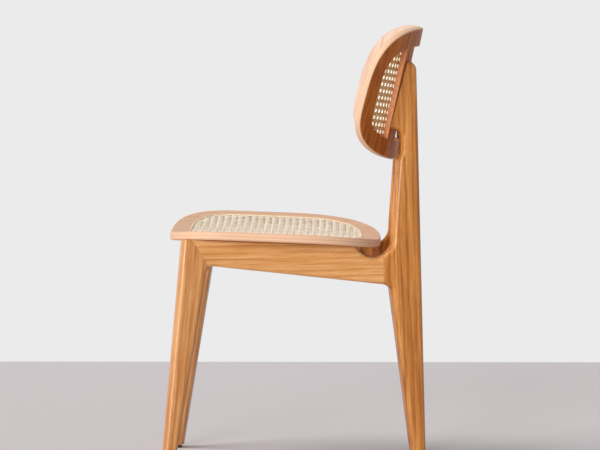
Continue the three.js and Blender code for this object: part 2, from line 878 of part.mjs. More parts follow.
const blockBack = frontRailFace + frontRailThickness + jointGap;
const blockMeet = innerFaceAt(blockBack, frontRailLow);
const blockShape = new THREE.Shape([
  new THREE.Vector2(blockMeet - blockLeg, blockBack),
  new THREE.Vector2(blockMeet + blockLeg, blockBack),
  new THREE.Vector2(blockMeet + blockLeg, blockBack + blockLeg),
  new THREE.Vector2(blockMeet, blockBack + blockLeg),
]);
const blockLow = seatFaceHeight(blockMeet, blockBack) - seatThickness - blockDepth;
const cornerBlock = solidOf(new THREE.ExtrudeGeometry(blockShape, {
  depth: blockDepth + cutOverrun,
  bevelEnabled: false,
  steps: 1,
}).translate(0, 0, blockLow)).subtract(outside).subtract(seatRoom);
addPiece(under, 'corner_block_left', geometryOf(cornerBlock), beech);
addPiece(under, 'corner_block_right', mirrored(geometryOf(cornerBlock)), beech);

// Dowels, screws and plugs, each a piece of its own

Object.entries(dowelSets(dowelRadius, 0)).forEach(([name, [low, high]]) => {
  addPair(`${name}_low`, low, beech);
  addPair(`${name}_high`, high, beech);
});
const [frontScrew, bearerScrew] = seatScrews(0);
addPair('seat_screw_front', frontScrew, steel);
addPair('seat_screw_rear', bearerScrew, steel);
const [lowScrew, highScrew] = backScrews(0);
addPair('back_screw_low', lowScrew, steel);
addPair('back_screw_high', highScrew, steel);
const [lowPlug, highPlug] = backPlugs(0, 0);
addPair('back_plug_low', lowPlug, oak);
addPair('back_plug_high', highPlug, oak);

// Seat and back

const seatRing = solidOf(placedIn(seatGroup, frameRing(
  seatOutline,
  seatRim,
  seatLip,
  seatThickness,
  seatArris,
  seatPlace,
))).subtract(seatHoles);
addPiece(seatGroup, 'seat_panel', geometryOf(seatRing), veneer);
addPiece(seatGroup, 'seat_spline', placedIn(seatGroup, splineRing(seatOutline, seatRim, seatPlace)), reed);

const caneHigh = jointGap + caneThickness - caneRecess;
const seatCane = netOf(seatOutline, seatRim + grooveWidth + jointGap, caneHigh, seatPlace);
addPiece(seatGroup, 'seat_cane', placedIn(seatGroup, seatCane), cane);

const barStep = jointGap / 2;
const bar = bentBlock(
  backPlace,
  backBarNear,
  backBarNear + backBarWidth,
  backRim / 2 - backLowerReach,
  backUpperReach - backRim / 2,
  barStep - backThickness,
  -caneRecess - barStep,
  barSteps,
);
const backRing = frameRing(backOutline, backRim, backLip, backThickness, backArris, backPlace);
const grooveRoom = ringOf(backOutline, [
  [backRim, cutOverrun],
  [backRim, -grooveDepth],
  [backRim + grooveWidth, -grooveDepth],
  [backRim + grooveWidth, cutOverrun],
], backPlace);
const backBars = joined(bothSides([bar])).subtract(solidOf(grooveRoom));
const backPanel = solidOf(placedIn(backGroup, geometryOf(solidOf(backRing).add(backBars))))
  .subtract(joined(bothSides([...backScrews(jointGap)])));
addPiece(backGroup, 'back_panel', geometryOf(backPanel), veneer);
addPiece(backGroup, 'back_spline', placedIn(backGroup, splineRing(backOutline, backRim, backPlace)), reed);
const backCane = netOf(backOutline, backRim + grooveWidth + jointGap, caneHigh, backPlace);
addPiece(backGroup, 'back_cane', placedIn(backGroup, backCane), cane);

export default chair;
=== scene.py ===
"""A dining chair in oiled oak, its seat and back filled with cane webbing.

Metres, +Z up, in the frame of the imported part: the sitter faces -Y and +X is the sitter's left.
"""

import logging
import math
from dataclasses import dataclass, replace
from enum import Enum, IntEnum
from itertools import product
from typing import Any, Iterable, Sequence

import bmesh
import bpy
import numpy as np
from mathutils import Matrix, Vector


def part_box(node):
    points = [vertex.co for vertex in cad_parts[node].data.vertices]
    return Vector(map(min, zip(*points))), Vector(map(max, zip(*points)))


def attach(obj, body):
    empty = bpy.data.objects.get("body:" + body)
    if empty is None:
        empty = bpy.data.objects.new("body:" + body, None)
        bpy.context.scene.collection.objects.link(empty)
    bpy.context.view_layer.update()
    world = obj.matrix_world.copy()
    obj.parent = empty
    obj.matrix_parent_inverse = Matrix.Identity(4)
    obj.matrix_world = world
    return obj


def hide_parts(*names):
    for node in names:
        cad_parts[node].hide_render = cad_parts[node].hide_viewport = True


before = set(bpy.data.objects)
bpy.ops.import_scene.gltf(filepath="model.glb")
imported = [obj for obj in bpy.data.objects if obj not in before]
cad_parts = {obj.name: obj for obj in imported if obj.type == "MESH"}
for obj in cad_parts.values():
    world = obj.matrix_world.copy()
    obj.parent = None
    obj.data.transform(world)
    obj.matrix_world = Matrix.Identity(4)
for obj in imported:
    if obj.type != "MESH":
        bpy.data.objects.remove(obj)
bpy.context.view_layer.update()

LOG = logging.getLogger("chair")
ROOT = "root"

# Lengths: the room that pieces leave each other, a glue line, and how far a cutter runs past its work
MM = 0.001
JOINT_GAP = 0.3 * MM
SEAM_GAP = 0.12 * MM
CUT_OVERRUN = 40 * MM

# Directions of the row frame
LEFTWARDS = Vector((1, 0, 0))
BACKWARDS = Vector((0, 1, 0))
UPWARDS = Vector((0, 0, 1))
ORIGIN = Vector((0, 0, 0))

# Fewest facets of an arc, and the least share of an inset that a mitre is worked out with
LEAST_ARC_STEPS = 3
LEAST_MITRE = 0.3

# Sockets of the Mix node: its factor, and the two inputs and the output for a number and for a colour
FACTOR = 0
NUMBER_A, NUMBER_B = 2, 3
COLOUR_A, COLOUR_B, COLOUR_OUT = 6, 7, 2

Colour = tuple[float, float, float, float]
Point2 = tuple[float, float]
Corner = tuple[float, float, float]
Face = tuple[int, ...]
Socket = bpy.types.NodeSocket
Tree = bpy.types.NodeTree
Mesh = bpy.types.Mesh


# Numbers and colours


def linear(hex_colour: str) -> Colour:
    """Turns an sRGB hex colour to linear light.

    Args:
        hex_colour: Six hex digits, without a leading mark.

    Returns:
        Red, green, blue and an alpha of one.
    """
    parts = [int(hex_colour[i:i + 2], 16) / 255 for i in (0, 2, 4)]
    bright = [c / 12.92 if c <= 0.04045 else ((c + 0.055) / 1.055) ** 2.4 for c in parts]
    return bright[0], bright[1], bright[2], 1.0


def line_at(start: Point2, end: Point2, height: float) -> float:
    """Gives the reach of a straight edge at a height.

    Args:
        start: Reach and height of one point of the edge.
        end: Reach and height of another.
        height: The height that is asked for.

    Returns:
        The reach there.
    """
    return start[0] + (end[0] - start[0]) * (height - start[1]) / (end[1] - start[1])


# Finishes


def add_node(tree: Tree, kind: str, inputs: dict[Any, Any] | None = None, out: int | str = 0,
             stops: Sequence[tuple[float, Any]] = (), **settings: Any) -> Socket | None:
    """Adds one shader node with its settings and links.

    Args:
        tree: The tree that it joins.
        kind: Its type, without the leading ShaderNode.
        inputs: What each input gets: a value, or a socket that it is linked to.
        out: The output that is asked for.
        stops: The places of a colour ramp, from 0 to 1, each with its colour or its grey level.
        **settings: Its own properties.

    Returns:
        That output, or None where the node has none.
    """
    made = tree.nodes.new("ShaderNode" + kind)
    for name, value in settings.items():
        setattr(made, name, value)
    for name, value in (inputs or {}).items():
        if isinstance(value, Socket):
            tree.links.new(value, made.inputs[name])
        else:
            made.inputs[name].default_value = value
    if stops:
        band = made.color_ramp.elements
        while len(band) < len(stops):
            band.new(1.0)
        for element, (place, tone) in zip(band, stops):
            element.position = place
            element.color = (tone, tone, tone, 1.0) if isinstance(tone, float) else tone
    return made.outputs[out] if made.outputs else None


@dataclass(frozen=True)
class Finish:
    """What every finish has: a name for the material, its colours and the shine of its surface.

    The colours run from dark to light, and each stop says where in the pattern, from 0 to 1, its colour is
    reached. The surface is a little smoother than its roughness in places, and a little rougher in others.
    """

    name: str
    colours: tuple[str, ...] = ()
    stops: tuple[float, ...] = ()
    roughness: float = 0.5
    smoother: float = 0.07
    rougher: float = 0.09
    ior: float = 1.5
    coat: float = 0.0
    coat_roughness: float = 0.2
    specular: float = 0.5
    bump_depth: float = 0.1 * MM

    def tones(self) -> list[tuple[float, Colour]]:
        """Pairs each stop with its colour."""
        return list(zip(self.stops, map(linear, self.colours)))

    def paint(self, tree: Tree, where: Socket) -> tuple[Socket, Socket, Socket]:
        """Makes the pattern.

        Args:
            tree: The material's tree.
            where: Object coordinates in metres.

        Returns:
            Sockets for base colour, height from 0 to 1, and a shine pattern from 0 to 1.
        """
        raise NotImplementedError

    def shader_values(self) -> dict[str, Any]:
        """Gives the shader's own settings that differ from finish to finish."""
        return {}

    def material(self) -> bpy.types.Material:
        """Makes the material, once, and gives the same one after that.

        Returns:
            The material.
        """
        known = bpy.data.materials.get(self.name)
        if known:
            return known
        made = bpy.data.materials.new(self.name)
        made.use_nodes = True
        tree = made.node_tree
        tree.nodes.clear()
        colour, height, shine = self.paint(tree, add_node(tree, "TexCoord", out="Object"))
        least, most = self.roughness - self.smoother, self.roughness + self.rougher
        rough = add_node(tree, "MapRange", {"Value": shine, "To Min": least, "To Max": most})
        bump = add_node(tree, "Bump", {"Height": height, "Strength": 1.0, "Distance": self.bump_depth})
        surface = add_node(tree, "BsdfPrincipled", {
            "Base Color": colour, "Roughness": rough, "Normal": bump, "IOR": self.ior,
            "Coat Weight": self.coat, "Coat Roughness": self.coat_roughness,
            "Specular IOR Level": self.specular, **self.shader_values()})
        add_node(tree, "OutputMaterial", {"Surface": surface})
        return made


@dataclass(frozen=True)
class SawnWood(Finish):
    """Solid wood: growth rings drawn out along the piece, fine fibres and short pores.

    The grain runs along the object's own Z axis, so each piece has its axes laid to its board. A finish for
    boards that lie across the chair has its pattern turned about Y instead. Real fibres and pores are 0.2 to
    0.3 mm wide. They are drawn three to four times as coarse, because finer ones don't show in the render.
    """

    stops: tuple[float, ...] = (0.36, 0.5, 0.62)
    broad_width: float = 15 * MM
    streak_width: float = 4 * MM
    fibre_width: float = 1.1 * MM
    pore_width: float = 0.7 * MM
    length_ratio: float = 0.035
    streak_share: float = 0.5
    fibre_share: float = 0.2
    pore_share: float = 0.36
    pore_edge: float = 0.07
    pore_tint: float = 0.35
    pith_offset: float = 90 * MM
    ring_spacing: float = 11 * MM
    ring_weight: float = 0.16
    ring_tones: tuple[Point2, ...] = ((0.0, 0.7), (0.45, 0.6), (0.85, 0.0), (1.0, 0.7))
    ring_wander: float = 30 * MM
    wander_width: float = 33.6 * MM
    wander_length: float = 240 * MM
    turn: float = 0.0

    def paint(self, tree: Tree, where: Socket) -> tuple[Socket, Socket, Socket]:
        """Makes broad bands, streaks, ring lines, fibres and pores.

        Args:
            tree: The material's tree.
            where: Object coordinates in metres.

        Returns:
            Sockets for base colour, height and shine pattern.
        """
        laid = add_node(tree, "Mapping", {"Vector": where, "Rotation": (0.0, self.turn, 0.0)})
        drawn = add_node(tree, "Mapping", {"Vector": laid, "Scale": (1.0, 1.0, self.length_ratio)})
        widths = (self.broad_width, self.streak_width, self.fibre_width, self.pore_width)
        bands, streaks, fibres, specks = [
            add_node(tree, "TexNoise", {"Vector": drawn, "Scale": 1 / width, "Detail": detail})
            for width, detail in zip(widths, (2.0, 3.0, 2.0, 1.0))]
        pores = add_node(tree, "ValToRGB", {"Fac": specks}, stops=[
            (self.pore_share, 0.0), (self.pore_share + self.pore_edge, 1.0)])

        slow = add_node(tree, "Mapping", {
            "Vector": laid, "Scale": (1.0, 1.0, self.wander_width / self.wander_length)})
        wander = add_node(tree, "TexNoise", {"Vector": slow, "Scale": 1 / self.wander_width, "Detail": 2.0})
        shift = add_node(tree, "MapRange", {
            "Value": wander, "To Min": -self.ring_wander, "To Max": self.ring_wander})
        split = add_node(tree, "SeparateXYZ", {"Vector": laid}).node.outputs
        reach = split["X"]
        for more in (shift, self.pith_offset):
            reach = add_node(tree, "Math", {0: reach, 1: more}, operation="ADD")
        radial = add_node(tree, "CombineXYZ", {"X": reach, "Y": split["Y"]})
        radius = add_node(tree, "VectorMath", {0: radial}, "Value", operation="LENGTH")
        years = add_node(tree, "Math", {0: radius, 1: 1 / self.ring_spacing}, operation="MULTIPLY")
        year = add_node(tree, "Math", {0: years}, operation="FRACT")
        rings = add_node(tree, "ValToRGB", {"Fac": year}, stops=self.ring_tones)

        grain = bands
        shares = (self.streak_share, self.fibre_share, self.ring_weight)
        for share, finer in zip(shares, (streaks, fibres, rings)):
            grain = add_node(tree, "Mix", {FACTOR: share, NUMBER_A: grain, NUMBER_B: finer},
                             data_type="FLOAT")
        colour = add_node(tree, "ValToRGB", {"Fac": grain}, stops=self.tones())
        dark = linear(self.colours[0])
        deep = add_node(tree, "Mix", {FACTOR: pores, COLOUR_A: dark, COLOUR_B: colour}, COLOUR_OUT,
                        data_type="RGBA")
        mixed = add_node(tree, "Mix", {FACTOR: self.pore_tint, COLOUR_A: colour, COLOUR_B: deep}, COLOUR_OUT,
                         data_type="RGBA")
        height = add_node(tree, "Math", {0: grain, 1: pores}, operation="MULTIPLY")
        return mixed, height, fibres


@dataclass(frozen=True)
class PlyEdge(Finish):
    """The cut edge of moulded plywood: thin plies, pale and dark in turn, seen end on.

    The plies follow the mesh's attribute "depth", which runs through the sheet. Real plies are about 1.2 mm
    thick and their fibres 0.3 mm wide. Both are drawn coarser, because they wouldn't show in the render.
    """

    stops: tuple[float, ...] = (0.25, 0.7)
    ply: float = 3 * MM
    fibre_width: float = 0.6 * MM
    fibre_share: float = 0.8

    def paint(self, tree: Tree, where: Socket) -> tuple[Socket, Socket, Socket]:
        """Makes the plies.

        Args:
            tree: The material's tree.
            where: Object coordinates in metres.

        Returns:
            Sockets for base colour, height and shine pattern.
        """
        depth = add_node(tree, "Attribute", out="Fac", attribute_name="depth")
        turns = add_node(tree, "Math", {0: depth, 1: math.pi / self.ply}, operation="MULTIPLY")
        wave = add_node(tree, "Math", {0: turns}, operation="SINE")
        plies = add_node(tree, "MapRange", {"Value": wave, "From Min": -1.0})
        fibres = add_node(tree, "TexNoise", {"Vector": where, "Scale": 1 / self.fibre_width, "Detail": 2.0})
        mixed = add_node(tree, "Mix", {
            FACTOR: self.fibre_share, NUMBER_A: plies, NUMBER_B: fibres}, data_type="FLOAT")
        return add_node(tree, "ValToRGB", {"Fac": mixed}, stops=self.tones()), mixed, fibres


@dataclass(frozen=True)
class SplitCane(Finish):
    """Split rattan cane: a glossy bark skin, a hue of its own on each strand, and growth nodes.

    Attributes "strand" and "along" give each strand its number and the metres walked along it. The bark's
    fibres are under 0.1 mm wide and are drawn coarser, so that they show.
    """

    stops: tuple[float, ...] = (0.18, 0.42, 0.7)
    patch_length: float = 30 * MM
    patch_share: float = 0.5
    fibre_width: float = 0.35 * MM
    fibre_share: float = 0.2
    node_spacing: float = 190 * MM
    node_scatter: float = 7.0
    node_tones: tuple[Point2, ...] = ((0.0, 1.0), (0.012, 0.0), (0.02, 1.0))
    thin_light: float = 0.12
    light_depth: float = 0.8 * MM
    light_spread: Corner = (1.0, 0.6, 0.3)

    def shader_values(self) -> dict[str, Any]:
        """Lets a little light through the thin strands."""
        return {"Subsurface Weight": self.thin_light, "Subsurface Radius": self.light_spread,
                "Subsurface Scale": self.light_depth}

    def paint(self, tree: Tree, where: Socket) -> tuple[Socket, Socket, Socket]:
        """Makes the strands' hues, fibres and nodes.

        Args:
            tree: The material's tree.
            where: Object coordinates in metres.

        Returns:
            Sockets for base colour, height and shine pattern.
        """
        strand = add_node(tree, "Attribute", out="Fac", attribute_name="strand")
        along = add_node(tree, "Attribute", out="Fac", attribute_name="along")
        own = add_node(tree, "TexWhiteNoise", {"W": strand}, noise_dimensions="1D")
        walked = add_node(tree, "Math", {0: along, 1: 1 / self.patch_length}, operation="MULTIPLY")
        line = add_node(tree, "CombineXYZ", {"X": strand, "Y": walked})
        patches = add_node(tree, "TexNoise", {"Vector": line, "Scale": 1.0, "Detail": 2.0})
        fibres = add_node(tree, "TexNoise", {"Vector": where, "Scale": 1 / self.fibre_width, "Detail": 1.0})
        hue = own
        for share, finer in ((self.patch_share, patches), (self.fibre_share, fibres)):
            hue = add_node(tree, "Mix", {FACTOR: share, NUMBER_A: hue, NUMBER_B: finer}, data_type="FLOAT")
        colour = add_node(tree, "ValToRGB", {"Fac": hue}, stops=self.tones())
        offset = add_node(tree, "Math", {0: own, 1: self.node_scatter}, operation="MULTIPLY")
        steps = add_node(tree, "Math", {0: along, 1: 1 / self.node_spacing}, operation="MULTIPLY")
        grown = add_node(tree, "Math", {0: steps, 1: offset}, operation="ADD")
        stage = add_node(tree, "Math", {0: grown}, operation="FRACT")
        mark = add_node(tree, "ValToRGB", {"Fac": stage}, stops=self.node_tones)
        dark = linear(self.colours[0])
        marked = add_node(tree, "Mix", {FACTOR: mark, COLOUR_A: dark, COLOUR_B: colour}, COLOUR_OUT,
                          data_type="RGBA")
        return marked, fibres, patches


@dataclass(frozen=True)
class Mottled(Finish):
    """A plain surface with a fine grain and wide soft blotches, such as plated steel or moulded nylon."""

    grain: float = 2 * MM
    grain_detail: float = 3.0
    blotch: float = 2 * MM
    metallic: float = 0.0

    def shader_values(self) -> dict[str, Any]:
        """Says whether it is a metal."""
        return {"Metallic": self.metallic}

    def paint(self, tree: Tree, where: Socket) -> tuple[Socket, Socket, Socket]:
        """Makes the grain and the blotches.

        Args:
            tree: The material's tree.
            where: Object coordinates in metres.

        Returns:
            Sockets for base colour, height and shine pattern.
        """
        grain = add_node(tree, "TexNoise", {
            "Vector": where, "Scale": 1 / self.grain, "Detail": self.grain_detail})
        blotches = add_node(tree, "TexNoise", {"Vector": where, "Scale": 1 / self.blotch, "Detail": 3.0})
        return add_node(tree, "ValToRGB", {"Fac": blotches}, stops=self.tones()), grain, blotches


# Oak, planed and oiled: an open-pored satin skin, warm, with long soft streaks
OAK = SawnWood("oak_planed_oiled", ("a86529", "c6884d", "dba36a"), roughness=0.42, coat=0.42,
               coat_roughness=0.17, specular=0.2)
# The same from paler boards with closer streaks, so that the side rails look lighter than the legs
RAIL_OAK = replace(OAK, name="oak_planed_oiled_pale", colours=("c17c3a", "dda05f", "edb87e"), coat=0.4,
                   coat_roughness=0.27, streak_width=3 * MM)
# The same from deeper boards, so that the rear legs look warmer and redder
REAR_OAK = replace(OAK, name="oak_planed_oiled_deep", colours=("955116", "c17c35", "d8954f"))
# Boards that lie across the chair, their streaks running from side to side: lighter and more orange than the
# side rails, painted bounce light for the warm glow under the seat
CROSS_OAK_PAINTED_BOUNCE = replace(RAIL_OAK, name="oak_across_painted_bounce_light", colours=("c77a31", "e19a52", "f0b276"),
                    turn=math.pi / 2)
# Oak veneer on moulded plywood, sanded and lacquered: finer streaks under a thin even film
VENEER = SawnWood("oak_veneer_lacquered", ("c8a28a", "d9bca8", "e3cab8"), roughness=0.4, coat=0.3,
                  coat_roughness=0.25, specular=0.3, broad_width=9 * MM, streak_width=2.4 * MM,
                  ring_weight=0.1, pore_share=0.3)
# The seat's veneer, rubbed duller by sitters and a little browner
SEAT_VENEER = replace(VENEER, name="oak_veneer_lacquered_seat", colours=("bf8d6a", "d4a785", "e0b899"),
                      roughness=0.5, coat=0.1, coat_roughness=0.4, specular=0.25, pore_share=0.28)
# Veneer on the hidden face, reddish brown with fine straight streaks: a darker, redder copy of the veneer,
# painted shade that stands for that face lying in shade
SHADE_VENEER = SawnWood("oak_veneer_painted_shade", ("863c04", "b05c0e", "cb7b26"), roughness=0.5,
                        coat=0.05, coat_roughness=0.35, specular=0.15, broad_width=8 * MM,
                        streak_width=2 * MM, ring_weight=0.1, pore_share=0.32)
# Oak plywood, moulded, routed and sanded fine: the plies hardly show as pale and darker lines on a cut edge
PLYWOOD = PlyEdge("plywood_routed_edge", ("d3a27f", "e9c4a5"), roughness=0.5, specular=0.25)
# The same cut through the windows, pinkish brown: a deeper, pinker copy of the plywood edge, painted shade of
# cut faces that lie in the shell's shadow
WINDOW_CUT = PlyEdge("plywood_window_edge_painted_shade", ("dc9061", "f2ad7b"), roughness=0.55, specular=0.2)
# The seat's own cut, under the webbing: darker and rougher, its dark brown painted shade of the inner wall
# seen through the webbing's holes
SEAT_CUT = PlyEdge("plywood_seat_window_edge_painted_shade", ("654629", "8a6743"), roughness=0.7, specular=0.15)
# Split rattan cane, machine woven: glossy narrow strands that differ a little in hue
CANE = SplitCane("cane_split_woven", ("bd9a72", "f3e5ce", "fdf6e8"), roughness=0.4, coat=0.2,
                 coat_roughness=0.3, specular=0.3)
# The same strands from behind, on the side split from the pith: matt, as that side really is; its darker,
# browner colour is painted shade of the strands' shaded backs
PITH = SplitCane("cane_pith_side_painted_shade", ("b07b3e", "d9a262", "e6b679"), roughness=0.6, specular=0.15,
                 thin_light=0.0)
# Round rattan reed, driven into the groove wet: dull, fibrous and a little darker than the cane
REED = SawnWood("reed_rattan_pressed", ("c9a57a", "e6d0ae", "f0e0c6"), broad_width=4 * MM,
                streak_width=1 * MM, ring_weight=0.0)
# Beech, turned or sawn and left bare: pale pinkish wood with short flecks
BEECH = SawnWood("beech_sawn_bare", ("b98d5c", "d2aa78", "e2c195"), roughness=0.62, broad_width=8 * MM,
                 streak_width=2 * MM, ring_weight=0.1)
# Steel, zinc plated in a bath: bright, and slightly cloudy
STEEL = Mottled("steel_zinc_plated", ("a9a9a4", "c9c9c2"), (0.3, 0.7), roughness=0.3, metallic=1.0)
# Nylon, injection moulded: nearly black and matt, scuffed by the floor. Its spark-eroded grain is about
# 0.05 mm wide, and is drawn coarser so that it shows
NYLON = Mottled("nylon_moulded", ("1d1b1a", "3a3735"), (0.5, 0.75), roughness=0.6, grain=0.7 * MM,
                grain_detail=2.0, blotch=3.5 * MM)


# Meshes


def board_axes(grain: Vector, face: Vector, origin: Vector) -> Matrix:
    """Lays an object's axes to its board, so that the wood's pattern runs with the piece.

    Args:
        grain: The direction of the grain, which becomes Z.
        face: The normal of the board's broad face, which becomes X as nearly as it can.
        origin: Where the pattern starts.

    Returns:
        The object's matrix.
    """
    along = grain.normalized()
    side = (face - along * face.dot(along)).normalized()
    turn = Matrix((side, along.cross(side), along)).transposed()
    return Matrix.Translation(origin) @ turn.to_4x4()


def fresh_mesh(name: str, points: Iterable[Sequence[float]], faces: Iterable[Face]) -> Mesh:
    """Makes a mesh with its faces pointing out.

    Args:
        name: The mesh's name.
        points: Its corners in the row frame.
        faces: Its faces, as numbers of corners.

    Returns:
        The mesh.
    """
    mesh = bpy.data.meshes.new(name)
    mesh.from_pydata([tuple(p) for p in points], [], list(faces))
    shape = bmesh.new()
    shape.from_mesh(mesh)
    bmesh.ops.recalc_face_normals(shape, faces=shape.faces)
    shape.to_mesh(mesh)
    shape.free()
    return mesh


def skin(rows: int, ring: int, first: int = 0, closed: bool = False) -> list[Face]:
    """Lays four-sided faces over rows of points.

    Args:
        rows: How many rings of points there are.
        ring: How many points each ring has.
        first: The number of the first point.
        closed: Whether the last row joins the first. Otherwise both ends get a face.

    Returns:
        The faces, row by row, and then the two ends.
    """
    faces = []
    for row in range(rows if closed else rows - 1):
        here, there = first + row * ring, first + (row + 1) % rows * ring
        faces += [(here + k, here + (k + 1) % ring, there + (k + 1) % ring, there + k) for k in range(ring)]
    if not closed:
        last = first + (rows - 1) * ring
        faces += [tuple(range(first, first + ring)), tuple(range(last, last + ring))]
    return faces


def mark_faces(mesh: Mesh, marks: Sequence[int]) -> None:
    """Gives each face the number of its material, and the mesh a place for each material.

    Args:
        mesh: The mesh.
        marks: One number for each face.
    """
    for _ in range(max(marks) + 1):
        mesh.materials.append(None)
    mesh.polygons.foreach_set("material_index", np.array(marks, np.int32))


def store_values(mesh: Mesh, name: str, values: Sequence[float]) -> None:
    """Stores a number for each corner of a mesh, for its finish to read.

    Args:
        mesh: The mesh.
        name: The attribute's name.
        values: One number for each corner.
    """
    mesh.attributes.new(name, "FLOAT", "POINT").data.foreach_set("value", np.array(values, np.float32))


class Joinery(Enum):
    """What a second solid does to the first, as the boolean modifier names it."""

    CUT = "DIFFERENCE"
    JOIN = "UNION"


def worked_mesh(mesh: Mesh, others: Sequence[Mesh], joinery: Joinery = Joinery.CUT) -> Mesh:
    """Cuts or joins solids.

    Args:
        mesh: The solid that is worked on.
        others: The solids that are taken away from it, or joined to it.
        joinery: Which of the two.

    Returns:
        The new solid.
    """
    items = [bpy.data.objects.new("work", part) for part in (mesh, *others)]
    for item in items:
        bpy.context.scene.collection.objects.link(item)
    for other in items[1:]:
        modifier = items[0].modifiers.new("joinery", "BOOLEAN")
        modifier.operation = joinery.value
        modifier.solver = "EXACT"
        modifier.object = other
    graph = bpy.context.evaluated_depsgraph_get()
    made = bpy.data.meshes.new_from_object(items[0].evaluated_get(graph))
    made.name = mesh.name
    for item in items:
        bpy.data.objects.remove(item)
    return made


def bisected(mesh: Mesh, point: Vector, normal: Vector) -> Mesh:
    """Keeps the part of a solid that lies behind a plane, and closes it there.

    Args:
        mesh: The solid.
        point: A point of the plane.
        normal: Its normal, on whose side the solid is cut away.

    Returns:
        A new solid.
    """
    shape = bmesh.new()
    shape.from_mesh(mesh)
    geometry = [*shape.verts, *shape.edges, *shape.faces]
    cut = bmesh.ops.bisect_plane(shape, geom=geometry, plane_co=point, plane_no=normal, clear_outer=True)
    rim = [item for item in cut["geom_cut"] if isinstance(item, bmesh.types.BMEdge)]
    bmesh.ops.holes_fill(shape, edges=rim)
    bmesh.ops.recalc_face_normals(shape, faces=shape.faces)
    made = bpy.data.meshes.new(mesh.name)
    shape.to_mesh(made)
    shape.free()
    return made


def add_piece(name: str, mesh: Mesh, finishes: Sequence[Finish], replaced: str,
              axes: Matrix | None = None, sharp: float = 34.0) -> None:
    """Puts a finished piece into the scene, on the chair's body.

    Args:
        name: The piece's name.
        mesh: Its solid, in the row frame.
        finishes: Its materials, in the order of the mesh's material numbers.
        replaced: The node that it stands for.
        axes: The object's own axes, where the grain doesn't run along Z.
        sharp: Edges that turn by more than this, in degrees, stay crisp.
    """
    mesh.name = name
    for number, finish in enumerate(finishes):
        if number < len(mesh.materials):
            mesh.materials[number] = finish.material()
        else:
            mesh.materials.append(finish.material())
    mesh.shade_smooth()
    mesh.set_sharp_from_angle(angle=math.radians(sharp))
    piece = bpy.data.objects.new(name, mesh)
    if axes is not None:
        mesh.transform(axes.inverted())
        piece.matrix_world = axes
    bpy.context.scene.collection.objects.link(piece)
    piece.modifiers.new("even_shading", "WEIGHTED_NORMAL").keep_sharp = True
    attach(piece, ROOT)
    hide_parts(replaced)
    LOG.info("%s: %d faces, stands for %s", name, len(mesh.polygons), replaced)


# Outlines


def rounded_corners(corners: Sequence[Corner], step: float) -> list[Vector]:
    """Gives an outline an arc at every corner.

    Args:
        corners: Place and radius of each corner.
        step: The angle between an arc's points.

    Returns:
        The outline's points.
    """
    points = []
    for i, (x, y, radius) in enumerate(corners):
        here = Vector((x, y))
        if radius == 0:
            points.append(here)
            continue
        back = (Vector(corners[i - 1][:2]) - here).normalized()
        ahead = (Vector(corners[(i + 1) % len(corners)][:2]) - here).normalized()
        half = math.acos(max(-1.0, min(1.0, back.dot(ahead)))) / 2
        start = here + back * (radius / math.tan(half))
        middle = here + (back + ahead).normalized() * (radius / math.sin(half))
        sweep = (math.pi - 2 * half) * -math.copysign(1, back.x * ahead.y - back.y * ahead.x)
        steps = max(LEAST_ARC_STEPS, math.ceil(abs(sweep) / step))
        turns = [Matrix.Rotation(sweep * k / steps, 2) for k in range(steps + 1)]
        points += [middle + turn @ (start - middle) for turn in turns]
    return points


def inset_loop(outline: Sequence[Vector], inset: float) -> list[Vector]:
    """Moves an outline inwards by the same amount everywhere, with mitred corners.

    Args:
        outline: Points in anticlockwise order.
        inset: How far they move.

    Returns:
        The moved points.
    """
    moved = []
    for i, point in enumerate(outline):
        back = (point - outline[i - 1]).normalized()
        ahead = (outline[(i + 1) % len(outline)] - point).normalized()
        inwards = Vector((-back.y, back.x))
        bisector = (inwards + Vector((-ahead.y, ahead.x))).normalized()
        moved.append(point + bisector * (inset / max(LEAST_MITRE, bisector.dot(inwards))))
    return moved


def signed_area(outline: Sequence[Vector]) -> float:
    """Gives an outline's area, positive where its points run anticlockwise."""
    return sum(outline[i - 1].x * p.y - outline[i - 1].y * p.x for i, p in enumerate(outline)) / 2


def arc_corner(middle: Point2, start: float, radius: float, steps: int) -> list[Point2]:
    """Rounds a square corner of a profile with a quarter turn.

    Args:
        middle: The middle of the arc.
        start: The angle at which it starts, in quarter turns.
        radius: Its radius.
        steps: Its facets.

    Returns:
        Points of the arc.
    """
    angles = [(start + k / steps) * math.pi / 2 for k in range(steps + 1)]
    return [(middle[0] + radius * math.cos(a), middle[1] + radius * math.sin(a)) for a in angles]


def plank_mesh(name: str, outline: Sequence[Vector], thickness: float, radius: float, steps: int,
               place: Matrix) -> Mesh:
    """Makes a flat board with round edges all along its outline.

    Args:
        name: The mesh's name.
        outline: The board's outline, in its own Y and Z.
        thickness: Its thickness, along X.
        radius: The radius of its edges.
        steps: Facets in each round edge.
        place: Where the board stands in the row frame.

    Returns:
        A closed solid.
    """
    walk = list(outline) if signed_area(outline) > 0 else list(reversed(outline))
    flank = thickness / 2 - radius
    section = arc_corner((flank, radius), -1, radius, steps)
    rows = [(inset, -x) for x, inset in reversed(section)] + [(inset, x) for x, inset in section]
    points = [place @ Vector((x, p.x, p.y)) for inset, x in rows for p in inset_loop(walk, inset)]
    return fresh_mesh(name, points, skin(len(rows), len(walk)))


def turned_mesh(name: str, profile: Sequence[Point2], axes: Matrix, steps: int) -> Mesh:
    """Turns a profile about the Z axis of its own axes, and closes both ends.

    Args:
        name: The mesh's name.
        profile: Radius and height of each of its points.
        axes: Those axes, in the row frame.
        steps: Facets round the axis.

    Returns:
        A closed solid.
    """
    angles = [math.tau * k / steps for k in range(steps)]
    points = [axes @ Vector((r * math.cos(a), r * math.sin(a), z)) for r, z in profile for a in angles]
    return fresh_mesh(name, points, skin(len(profile), steps))


